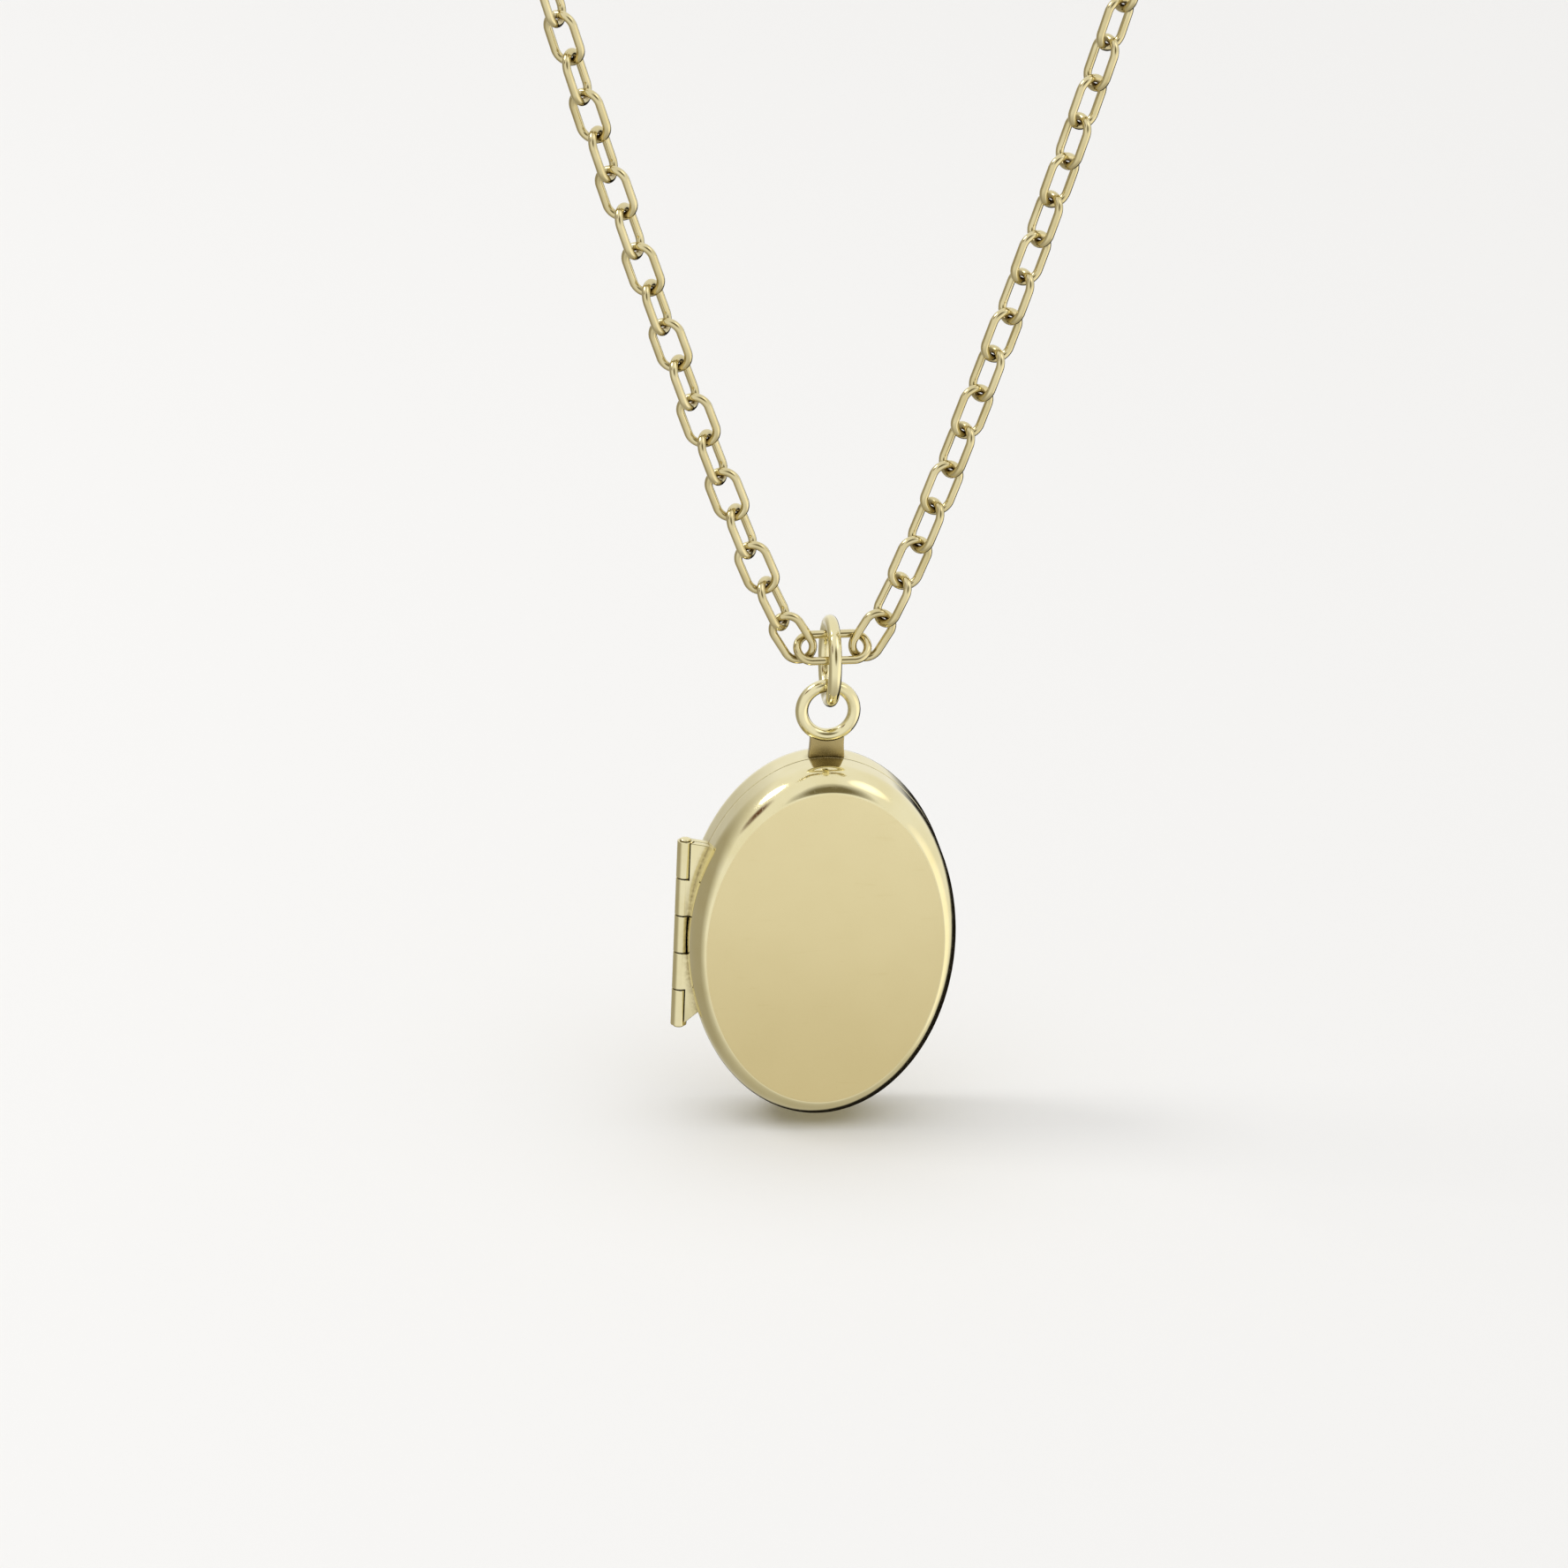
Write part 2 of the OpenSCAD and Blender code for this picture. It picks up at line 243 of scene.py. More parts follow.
class Bench:
    """The modelling operators that the pieces are made with."""

    @staticmethod
    def clear() -> None:
        """Leaves edit mode and selects nothing."""
        if bpy.context.mode != "OBJECT":
            bpy.ops.object.mode_set(mode="OBJECT")
        bpy.ops.object.select_all(action="DESELECT")

    @staticmethod
    def take(piece: bpy.types.Object) -> None:
        """Makes one piece the only selected and active object."""
        Bench.clear()
        piece.select_set(True)
        bpy.context.view_layer.objects.active = piece

    @staticmethod
    def named(name: str) -> bpy.types.Object:
        """Names the object that an operator has just added."""
        piece = bpy.context.active_object
        piece.name = name
        piece.data.name = name
        return piece

    @staticmethod
    def placed(name: str, data: bpy.types.ID) -> bpy.types.Object:
        """Adds an object that shows a camera, a light or a curve."""
        piece = bpy.data.objects.new(name, data)
        bpy.context.scene.collection.objects.link(piece)
        return piece

    @staticmethod
    def edit(piece: bpy.types.Object, mode: str = "VERT") -> None:
        """Enters edit mode on a piece, in a selection mode."""
        Bench.take(piece)
        bpy.ops.object.mode_set(mode="EDIT")
        bpy.ops.mesh.select_mode(type=mode)

    @staticmethod
    def pick(piece: bpy.types.Object, mode: str, wanted: Callable) -> None:
        """Selects elements of the piece that is being edited.

        Args:
            piece: The piece in edit mode.
            mode: VERT, EDGE or FACE.
            wanted: Says of one element whether it is selected.
        """
        bpy.ops.mesh.select_mode(type=mode)
        bpy.ops.mesh.select_all(action="DESELECT")
        mesh = bmesh.from_edit_mesh(piece.data)
        rows = {"VERT": mesh.verts, "EDGE": mesh.edges, "FACE": mesh.faces}[mode]
        for element in rows:
            element.select_set(bool(wanted(element)))
        mesh.select_flush_mode()
        bmesh.update_edit_mesh(piece.data)

    @staticmethod
    def close_up(piece: bpy.types.Object) -> None:
        """Merges doubled points and turns all faces outwards, then leaves edit mode."""
        bpy.ops.mesh.select_mode(type="VERT")
        bpy.ops.mesh.select_all(action="SELECT")
        bpy.ops.mesh.remove_doubles(threshold=1e-7)
        bpy.ops.mesh.normals_make_consistent(inside=False)
        Bench.take(piece)

    @staticmethod
    def turned(name: str, rings: Sequence[Ring], closed: bool, count: int = 64) -> bpy.types.Object:
        """Draws out a round or oval piece along its own Z, ring by ring.

        Args:
            name: Name of the new piece.
            rings: Half width along X, half width along Y and height of each ring, in millimetres.
            closed: True where the last ring runs back to the first, as in a tube or a band.
            count: Points round each ring.

        Returns:
            The new piece, in its own frame.
        """
        Bench.clear()
        fill = "NOTHING" if closed else "NGON"
        bpy.ops.mesh.primitive_circle_add(vertices=count, radius=1, fill_type=fill)
        piece = Bench.named(name)
        Bench.edit(piece)
        bpy.ops.mesh.select_all(action="SELECT")
        wide, deep, height = rings[0]
        bpy.ops.transform.resize(value=(wide * MM, deep * MM, 1), center_override=(0, 0, 0))
        bpy.ops.transform.translate(value=(0, 0, height * MM))
        for next_wide, next_deep, next_height in [*rings[1:], *(rings[:1] if closed else [])]:
            rise = (0, 0, (next_height - height) * MM)
            bpy.ops.mesh.extrude_region_move(TRANSFORM_OT_translate={"value": rise})
            growth = (next_wide / wide, next_deep / deep, 1)
            bpy.ops.transform.resize(value=growth, center_override=(0, 0, 0))
            wide, deep, height = next_wide, next_deep, next_height
        Bench.close_up(piece)
        return piece

    @staticmethod
    def hoop(name: str, radius: float, wire: float, around: int = 72, across: int = 24) -> bpy.types.Object:
        """Makes a ring of round wire that faces the front.

        Args:
            name: Name of the new piece.
            radius: Radius of the wire's centreline, in millimetres.
            wire: Thickness of the wire, in millimetres.
            around: Segments round the ring.
            across: Segments round the wire.

        Returns:
            The new piece, in its own frame.
        """
        Bench.clear()
        bpy.ops.mesh.primitive_torus_add(
            major_radius=radius * MM,
            minor_radius=wire / 2 * MM,
            major_segments=around,
            minor_segments=across,
            rotation=(math.pi / 2, math.pi / around, 0),
        )
        piece = Bench.named(name)
        Bench.settle(piece)
        return piece

    @staticmethod
    def bar(name: str, low: Vector, high: Vector) -> bpy.types.Object:
        """Makes a block between two corners, in millimetres."""
        Bench.clear()
        bpy.ops.mesh.primitive_cube_add(size=1, location=(low + high) / 2 * MM)
        piece = Bench.named(name)
        piece.scale = (high - low) * MM
        Bench.settle(piece)
        return piece

    @staticmethod
    def rod(name: str, radius: float, low: Vector, high: Vector, count: int = 64) -> bpy.types.Object:
        """Makes a round rod between two points, in millimetres."""
        Bench.clear()
        way = high - low
        bpy.ops.mesh.primitive_cylinder_add(
            vertices=count, radius=radius * MM, depth=way.length * MM, location=(low + high) / 2 * MM
        )
        piece = Bench.named(name)
        piece.rotation_mode = "QUATERNION"
        piece.rotation_quaternion = way.to_track_quat("Z", "Y")
        Bench.settle(piece)
        return piece

    @staticmethod
    def settle(piece: bpy.types.Object) -> None:
        """Applies a piece's place, turn and scale to its mesh."""
        Bench.take(piece)
        bpy.ops.object.transform_apply(location=True, rotation=True, scale=True)

    @staticmethod
    def put(piece: bpy.types.Object, place: Matrix) -> bpy.types.Object:
        """Moves a piece's mesh by a matrix in metres, and keeps its faces outwards."""
        piece.data.transform(place)
        if place.determinant() < 0:
            piece.data.flip_normals()
        return piece

    @staticmethod
    def copies(master: bpy.types.Object, places: Iterable[Matrix]) -> bpy.types.Object:
        """Lays out copies of one master, each with its own mesh, and joins them.

        Args:
            master: The piece that is copied. It becomes the first copy.
            places: The place of each copy.

        Returns:
            The joined piece, with the master's name.
        """
        rows = list(places)
        made = []
        for place in rows[1:]:
            copy = master.copy()
            copy.data = master.data.copy()
            bpy.context.scene.collection.objects.link(copy)
            made.append(Bench.put(copy, place))
        Bench.put(master, rows[0])
        return Bench.joined(master, made)

    @staticmethod
    def joined(first: bpy.types.Object, others: Iterable[bpy.types.Object]) -> bpy.types.Object:
        """Joins other pieces to the first one."""
        Bench.take(first)
        for other in others:
            other.select_set(True)
        bpy.context.view_layer.objects.active = first
        bpy.ops.object.join()
        return first

    @staticmethod
    def combine(piece: bpy.types.Object, tool: bpy.types.Object, operation: str) -> None:
        """Cuts a piece with a tool, or fuses them, and clears the tool away."""
        Bench.take(piece)
        step = piece.modifiers.new("cut", "BOOLEAN")
        step.operation = operation
        step.object = tool
        step.solver = "EXACT"
        step.use_self = True
        bpy.ops.object.modifier_apply(modifier=step.name)
        bpy.data.objects.remove(tool)

    @staticmethod
    def soften(piece: bpy.types.Object, width: float, angle: float = 40, segments: int = 2) -> None:
        """Rounds a piece's sharp edges.

        Args:
            piece: The piece.
            width: Width of the rounding, in millimetres.
            angle: Edges sharper than this are rounded, in degrees.
            segments: Steps across the rounding.
        """
        Bench.take(piece)
        step = piece.modifiers.new("soften", "BEVEL")
        step.width = width * MM
        step.segments = segments
        step.limit_method = "ANGLE"
        step.angle_limit = math.radians(angle)
        bpy.ops.object.modifier_apply(modifier=step.name)

    @staticmethod
    def polish(piece: bpy.types.Object, angle: float = 32) -> None:
        """Shades a piece smooth, but for edges sharper than an angle in degrees."""
        Bench.take(piece)
        bpy.ops.object.shade_smooth_by_angle(angle=math.radians(angle))


def shifted(x: float, y: float, z: float) -> Matrix:
    """Gives a shift, in millimetres."""
    return Matrix.Translation(Vector((x, y, z)) * MM)


def spun(degrees: float, axis: str) -> Matrix:
    """Gives a turn about an axis."""
    return Matrix.Rotation(math.radians(degrees), 4, axis)


def mirrored(side: Side) -> Matrix:
    """Gives the mirror that lays a right-hand piece on a side."""
    return Matrix.Diagonal((side.value, 1, 1, 1))


def in_locket(x: float = 0, y: float = 0, z: float = 0) -> Matrix:
    """Gives the shift to a place counted from the locket's middle, in millimetres."""
    return shifted(*(LOCKET_MIDDLE + Vector((x, y, z))))


def upright_way(degrees: float) -> Vector:
    """Gives the way at an angle from X towards Z."""
    angle = math.radians(degrees)
    return Vector((math.cos(angle), 0, math.sin(angle)))


def way_from(azimuth: float, elevation: float) -> Vector:
    """Gives a direction seen from the locket. Azimuth 0 is in front, and grows to the right."""
    azimuth, elevation = math.radians(azimuth), math.radians(elevation)
    level = math.cos(elevation)
    return Vector((math.sin(azimuth) * level, -math.cos(azimuth) * level, math.sin(elevation)))


# ---------------------------------------------------------------- Finishes


class Board:
    """One node tree, and short ways to add to it and wire it."""

    def __init__(self, tree: bpy.types.NodeTree) -> None:
        """Starts a board on a tree and clears it."""
        self.tree = tree
        tree.nodes.clear()

    def add(self, kind: str, **settings) -> bpy.types.Node:
        """Adds a node.

        Args:
            kind: The node's type name.
            **settings: Properties of the node.

        Returns:
            The new node.
        """
        node = self.tree.nodes.new(kind)
        node.location = (200 * len(self.tree.nodes), 0)
        for key, value in settings.items():
            setattr(node, key, value)
        return node

    def wire(self, start: bpy.types.NodeSocket, end: bpy.types.NodeSocket) -> None:
        """Wires one socket to another."""
        self.tree.links.new(start, end)

    def feed(self, end: bpy.types.NodeSocket, value: Value) -> None:
        """Feeds an input: a socket is wired to it, and a number or a colour is set on it."""
        if isinstance(value, bpy.types.NodeSocket):
            self.wire(value, end)
        elif isinstance(value, (int, float)):
            end.default_value = value
        else:
            end.default_value = (*value, 1)

    def math(self, operation: str, first: Value, second: Value) -> bpy.types.NodeSocket:
        """Adds a Math node whose inputs are sockets or numbers, and gives its output."""
        node = self.add("ShaderNodeMath", operation=operation)
        self.feed(node.inputs[0], first)
        self.feed(node.inputs[1], second)
        return node.outputs[0]

    def noise(self, vector: bpy.types.NodeSocket, scale: float, detail: float) -> bpy.types.NodeSocket:
        """Adds a noise pattern and gives its value."""
        node = self.add("ShaderNodeTexNoise")
        node.inputs["Scale"].default_value = scale
        node.inputs["Detail"].default_value = detail
        self.wire(vector, node.inputs["Vector"])
        return node.outputs[0]

    def ramp(self, value: bpy.types.NodeSocket, low: float, high: float) -> bpy.types.NodeSocket:
        """Stretches a value from low..high to 0..1 and clamps it."""
        node = self.add("ShaderNodeMapRange")
        node.inputs["From Min"].default_value = low
        node.inputs["From Max"].default_value = high
        self.wire(value, node.inputs["Value"])
        return node.outputs[0]

    def mix(self, mask: bpy.types.NodeSocket, first: Value, second: Value) -> bpy.types.NodeSocket:
        """Mixes two colours, each a socket or a colour, by a mask."""
        node = self.add("ShaderNodeMix", data_type="RGBA")
        self.wire(mask, node.inputs[0])
        self.feed(node.inputs[6], first)
        self.feed(node.inputs[7], second)
        return node.outputs[2]

    def place(
        self, turn: Sequence[float] = (0, 0, 0), stretch: Sequence[float] = (1, 1, 1)
    ) -> bpy.types.NodeSocket:
        """Gives the piece's own coordinates in millimetres, turned in degrees and stretched."""
        where = self.add("ShaderNodeTexCoord")
        mapping = self.add("ShaderNodeMapping")
        mapping.inputs["Rotation"].default_value = [math.radians(a) for a in turn]
        mapping.inputs["Scale"].default_value = [s / MM for s in stretch]
        self.wire(where.outputs["Object"], mapping.inputs["Vector"])
        return mapping.outputs[0]

    def effect(self, group: bpy.types.NodeTree, **values: float) -> bpy.types.Node:
        """Places a shared effect in this tree with its own values."""
        node = self.add("ShaderNodeGroup", node_tree=group)
        for key, value in values.items():
            node.inputs[key.replace("_", " ").capitalize()].default_value = value
        return node


def new_group(
    name: str, inputs: dict[str, float], outputs: dict[str, str]
) -> tuple[Board, bpy.types.Node, bpy.types.Node]:
    """Starts a shader node group.

    Args:
        name: Name of the group.
        inputs: Default of each float input, by name.
        outputs: Kind of each output, by name: Float, Color or Vector.

    Returns:
        The group's board, its input node and its output node.
    """
    tree = bpy.data.node_groups.new(name, "ShaderNodeTree")
    for key, value in inputs.items():
        tree.interface.new_socket(key, in_out="INPUT", socket_type="NodeSocketFloat").default_value = value
    for key, kind in outputs.items():
        tree.interface.new_socket(key, in_out="OUTPUT", socket_type="NodeSocket" + kind)
    board = Board(tree)
    return board, board.add("NodeGroupInput"), board.add("NodeGroupOutput")


# Three sets of hairlines: how each is turned, in degrees, and how its pattern is stretched
HAIRLINES = (
    ((20, 0, 35), (0.5, 30, 4)),
    ((0, 40, -50), (26, 0.4, 5)),
    ((70, 10, 0), (3, 0.5, 34)),
)


def make_wear() -> bpy.types.NodeTree:
    """Makes the effect of wear on polished metal.

    Returns:
        A group with a base roughness and the strength of haze and hairlines. It puts out a
        roughness, a normal and a mask of the haze.
    """
    board, inward, outward = new_group(
        "wear",
        {"Base": 0.1, "Haze": 0.06, "Hairlines": 0.1, "Ripple": 0.02},
        {"Roughness": "Float", "Normal": "Vector", "Mask": "Float"},
    )
    haze = board.ramp(board.noise(board.place(), 0.55, 4), 0.35, 0.68)
    lines = None
    for turn, stretch in HAIRLINES:
        streak = board.ramp(board.noise(board.place(turn, stretch), 1.0, 2), 0.66, 0.72)
        lines = streak if lines is None else board.math("MAXIMUM", lines, streak)
    rough = board.math("MULTIPLY", haze, inward.outputs["Haze"])
    rough = board.math("ADD", rough, inward.outputs["Base"])
    rough = board.math("ADD", rough, board.math("MULTIPLY", lines, inward.outputs["Hairlines"]))
    scratch = board.add("ShaderNodeBump")
    scratch.inputs["Distance"].default_value = 0.002 * MM
    scratch.invert = True
    board.wire(lines, scratch.inputs["Height"])
    board.wire(inward.outputs["Hairlines"], scratch.inputs["Strength"])
    swell = board.add("ShaderNodeBump")
    swell.inputs["Distance"].default_value = 0.06 * MM
    board.wire(board.noise(board.place((10, 30, 0)), 0.9, 1), swell.inputs["Height"])
    board.wire(inward.outputs["Ripple"], swell.inputs["Strength"])
    board.wire(scratch.outputs[0], swell.inputs["Normal"])
    board.wire(rough, outward.inputs["Roughness"])
    board.wire(swell.outputs[0], outward.inputs["Normal"])
    board.wire(haze, outward.inputs["Mask"])
    return board.tree


def make_corner_shade_and_grime() -> bpy.types.NodeTree:
    """Makes the painted shade in corners and between pieces: a darker tone where ambient occlusion finds shade, broken
    into patches like grime.

    Returns:
        A group with a reach in millimetres. It puts out a mask that is 1 in the deepest corners.
    """
    board, inward, outward = new_group("recess", {"Reach": 0.3}, {"Mask": "Float"})
    # Painted shade: ambient occlusion picks out corners and the gaps between pieces, where shade falls
    shade = board.add("ShaderNodeAmbientOcclusion", samples=6)
    board.wire(board.math("MULTIPLY", inward.outputs["Reach"], MM), shade.inputs["Distance"])
    open_air = board.math("POWER", shade.outputs["AO"], 1.4)
    patchy = board.ramp(board.noise(board.place(), 6, 3), 0.1, 0.6)
    deep = board.math("MULTIPLY", board.math("SUBTRACT", 1.0, open_air), patchy)
    board.wire(deep, outward.inputs["Mask"])
    return board.tree


def make_grain() -> bpy.types.NodeTree:
    """Makes the effect of a fine even grain, as on satin metal or card.

    Returns:
        A group with a scale per millimetre and a strength. It puts out a value and a normal.
    """
    board, inward, outward = new_group(
        "grain", {"Scale": 20, "Strength": 0.2, "Stretch": 1}, {"Value": "Float", "Normal": "Vector"}
    )
    where = board.place()
    drawn = board.add("ShaderNodeCombineXYZ")
    for axis in ("Y", "Z"):
        drawn.inputs[axis].default_value = 1
    board.wire(inward.outputs["Stretch"], drawn.inputs["X"])
    long = board.add("ShaderNodeVectorMath", operation="MULTIPLY")
    board.wire(where, long.inputs[0])
    board.wire(drawn.outputs[0], long.inputs[1])
    speck = board.add("ShaderNodeTexNoise")
    speck.inputs["Detail"].default_value = 3
    board.wire(long.outputs[0], speck.inputs["Vector"])
    board.wire(inward.outputs["Scale"], speck.inputs["Scale"])
    bump = board.add("ShaderNodeBump")
    bump.inputs["Distance"].default_value = 0.01 * MM
    board.wire(speck.outputs[0], bump.inputs["Height"])
    board.wire(inward.outputs["Strength"], bump.inputs["Strength"])
    board.wire(speck.outputs[0], outward.inputs["Value"])
    board.wire(bump.outputs[0], outward.inputs["Normal"])
    return board.tree


@dataclass(frozen=True)
class Effects:
    """The shared effects, built once."""

    wear: bpy.types.NodeTree = field(default_factory=make_wear)
    recess: bpy.types.NodeTree = field(default_factory=make_corner_shade_and_grime)
    grain: bpy.types.NodeTree = field(default_factory=make_grain)


def new_material(name: str) -> tuple[Board, bpy.types.Node, bpy.types.Material]:
    """Starts a material with one Principled shader.

    Args:
        name: Name of the material.

    Returns:
        Its board, its shader and the material.
    """
    material = bpy.data.materials.new(name)
    material.use_nodes = True
    board = Board(material.node_tree)
    shader = board.add("ShaderNodeBsdfPrincipled")
    board.wire(shader.outputs[0], board.add("ShaderNodeOutputMaterial").inputs["Surface"])
    return board, shader, material


@dataclass(frozen=True)
class PolishedGold:
    """Gold with a buffed surface and fine wear, with painted shade, patchy like grime, in its corners and between
    pieces.
    """

    name: str
    bright: Colour
    warm: Colour
    # deep is the colour of the painted shade in corners and between pieces
    deep: Colour
    roughness: float = 0.07
    haze: float = 0.07
    hairlines: float = 0.12
    ripple: float = 0.15
    reach: float = 0.35

    def make(self, effects: Effects) -> bpy.types.Material:
        """Builds the material from the shared effects."""
        board, shader, material = new_material(self.name)
        shader.inputs["Metallic"].default_value = 1
        strengths = {"haze": self.haze, "hairlines": self.hairlines, "ripple": self.ripple}
        wear = board.effect(effects.wear, base=self.roughness, **strengths)
        # Painted shade: the deep colour darkens corners and gaps found by ambient occlusion, in grime-like patches
        corner = board.effect(effects.recess, reach=self.reach)
        tone = board.mix(wear.outputs["Mask"], self.bright, self.warm)
        tone = board.mix(corner.outputs["Mask"], tone, self.deep)
        board.wire(tone, shader.inputs["Base Color"])
        board.wire(wear.outputs["Roughness"], shader.inputs["Roughness"])
        board.wire(wear.outputs["Normal"], shader.inputs["Normal"])
        return material


@dataclass(frozen=True)
class SatinGold:
    """Gold with a fine satin grain, as on the flat faces, with painted shade that darkens it towards the bottom."""

    name: str
    bright: Colour
    warm: Colour
    roughness: float = 0.34
    spread: float = 0.05
    drift: float = 7
    fade_over: float = 10
    scale: float = 16
    strength: float = 0.35
    stretch: float = 1

    def make(self, effects: Effects) -> bpy.types.Material:
        """Builds the material from the shared effects."""
        board, shader, material = new_material(self.name)
        shader.inputs["Metallic"].default_value = 1
        wear = board.effect(effects.wear, base=self.roughness, haze=self.spread, hairlines=0.1, ripple=0.08)
        grain = board.effect(effects.grain, scale=self.scale, strength=self.strength, stretch=self.stretch)
        where = board.place()
        apart = board.add("ShaderNodeSeparateXYZ")
        board.wire(where, apart.inputs[0])
        # Painted shade: the warm colour darkens the face towards the bottom, along a line that noise makes wander
        drift = board.math("MULTIPLY", board.noise(where, 0.11, 1), self.drift)
        height = board.math("ADD", apart.outputs["Z"], drift)
        middle = LOCKET_MIDDLE.z + self.drift / 2
        shade_by_height = board.ramp(height, middle + self.fade_over, middle - self.fade_over)
        board.wire(board.mix(shade_by_height, self.bright, self.warm), shader.inputs["Base Color"])
        lift = board.math("MULTIPLY", grain.outputs["Value"], 0.08)
        board.wire(board.math("ADD", wear.outputs["Roughness"], lift), shader.inputs["Roughness"])
        board.wire(grain.outputs["Normal"], shader.inputs["Normal"])
        return material


@dataclass(frozen=True)
class BlankCard:
    """Matt card with a faint fibre."""

    name: str
    pale: Colour
    fibre: Colour

    def make(self, effects: Effects) -> bpy.types.Material:
        """Builds the material from the shared effects."""
        board, shader, material = new_material(self.name)
        grain = board.effect(effects.grain, scale=9, strength=0.25, stretch=1)
        flecks = board.ramp(grain.outputs["Value"], 0.4, 0.62)
        board.wire(board.mix(flecks, self.pale, self.fibre), shader.inputs["Base Color"])
        board.wire(board.ramp(grain.outputs["Value"], -2.0, 0.9), shader.inputs["Roughness"])
        board.wire(grain.outputs["Normal"], shader.inputs["Normal"])
        return material


@dataclass(frozen=True)
class ClearSheet:
    """Thin clear plastic with light handling haze."""

    name: str
    tint: Colour
    body: float = 0.06
    marks: float = 0.08

    def make(self, effects: Effects) -> bpy.types.Material:
        """Builds the material from the shared effects."""
        board, shader, material = new_material(self.name)
        shader.inputs["Base Color"].default_value = (*self.tint, 1)
        shader.inputs["IOR"].default_value = 1.49
        wear = board.effect(effects.wear, base=0.01, haze=0.05, hairlines=0.08, ripple=0.05)
        haze = board.math("MULTIPLY", wear.outputs["Mask"], self.marks)
        board.wire(board.math("ADD", haze, self.body), shader.inputs["Alpha"])
        board.wire(wear.outputs["Roughness"], shader.inputs["Roughness"])
        board.wire(wear.outputs["Normal"], shader.inputs["Normal"])
        return material


@dataclass(frozen=True)
class DrawnSteel:
    """Spring wire with draw lines."""

    name: str
    bright: Colour
    dull: Colour

    def make(self, effects: Effects) -> bpy.types.Material:
        """Builds the material from the shared effects."""
        board, shader, material = new_material(self.name)
        shader.inputs["Metallic"].default_value = 1
        grain = board.effect(effects.grain, scale=30, strength=0.3, stretch=0.2)
        wear = board.effect(effects.wear, base=0.24, haze=0.1, hairlines=0.1, ripple=0)
        board.wire(board.mix(grain.outputs["Value"], self.bright, self.dull), shader.inputs["Base Color"])
        board.wire(wear.outputs["Roughness"], shader.inputs["Roughness"])
        board.wire(grain.outputs["Normal"], shader.inputs["Normal"])
        return material


@dataclass(frozen=True)
class PaleSweep:
    """The plain pale ground."""

    name: str
    shade: Colour

    def make(self) -> bpy.types.Material:
        """Builds the material, which needs no effect."""
        _, shader, material = new_material(self.name)
        shader.inputs["Base Color"].default_value = (*self.shade, 1)
        shader.inputs["Roughness"].default_value = 0.9
        shader.inputs["Specular IOR Level"].default_value = 0.1
        return material


class Finish(Enum):
    """The finishes. All but the shaded one are the record's material slots. The shaded one is a darker copy of the
    polished gold that paints the shade on the ring's foot.
    """

    POLISHED = "polished_gold"
    SATIN = "satin_gold"
    CHAIN = "chain_gold"
    WINDOW = "window"
    CARD = "card"
    SPRING = "spring_steel"
    SOLDERED = "soldered_gold"


# Each polished gold's third colour is the painted shade in its corners and between pieces
PALETTE = {
    Finish.POLISHED: PolishedGold(
        "polished_gold", (0.81, 0.74, 0.465), (0.77, 0.69, 0.40), (0.24, 0.18, 0.07)
    ),
    # A darker copy of the polished gold: painted shade for the ring's foot
    Finish.SOLDERED: PolishedGold(
        "soldered_gold", (0.46, 0.37, 0.17), (0.36, 0.28, 0.12), (0.12, 0.08, 0.03), roughness=0.22
    ),
    # The satin gold's second colour is the painted shade towards the bottom of the face
    Finish.SATIN: SatinGold("satin_gold", (0.87, 0.775, 0.46), (0.63, 0.52, 0.26)),
    Finish.CHAIN: PolishedGold(
        "chain_gold",
        (0.71, 0.625, 0.37),
        (0.62, 0.53, 0.28),
        (0.18, 0.12, 0.045),
        roughness=0.09,
        haze=0.08,
        hairlines=0.1,
        ripple=0.2,
        reach=0.25,
    ),
    Finish.WINDOW: ClearSheet("window", (0.98, 0.99, 0.99)),
    Finish.CARD: BlankCard("card", (0.93, 0.90, 0.83), (0.89, 0.85, 0.77)),
    Finish.SPRING: DrawnSteel("spring_steel", (0.62, 0.62, 0.63), (0.38, 0.37, 0.37)),
}
GROUND = PaleSweep("pale_sweep", (0.838, 0.830, 0.816))


class Dresser:
    """Gives pieces their finish, their body and their place in the record."""

    def __init__(self) -> None:
        """Builds every finish once."""
        effects = Effects()
        self.materials = {key: finish.make(effects) for key, finish in PALETTE.items()}
        self.ground = GROUND.make()

    def cover(self, piece: bpy.types.Object, *finishes: Finish) -> None:
        """Replaces a piece's materials by finishes."""
        piece.data.materials.clear()
        for finish in finishes:
            piece.data.materials.append(self.materials[finish])

    def hand_over(
        self, piece: bpy.types.Object, body: str, nodes: Sequence[str], finish: Finish
    ) -> bpy.types.Object:
        """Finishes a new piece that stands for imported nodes.

        Args:
            piece: The new piece.
            body: The body that it rides on.
            nodes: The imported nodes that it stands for.
            finish: Its finish, unless it has materials already.

        Returns:
            The piece.
        """
        if not piece.data.materials:
            self.cover(piece, finish)
        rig.ride(piece, body)
        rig.replaces(piece, *nodes)
        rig.slot(piece, finish.value)
        LOG.info("%s rides on %s for %s", piece.name, body, ", ".join(nodes))
        return piece

    def keep(self, node: str, finish: Finish) -> None:
        """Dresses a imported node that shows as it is."""
        self.cover(frame["nodes"][node], finish)
        LOG.info("%s keeps its packed shape", node)


# ---------------------------------------------------------------- Locket


def laid(half: Half) -> Matrix:
    """Lays a piece drawn along Z into a half of the locket, its height becoming its depth."""
    return Matrix.Diagonal((1, half.value, 1, 1)) @ spun(90, "X")


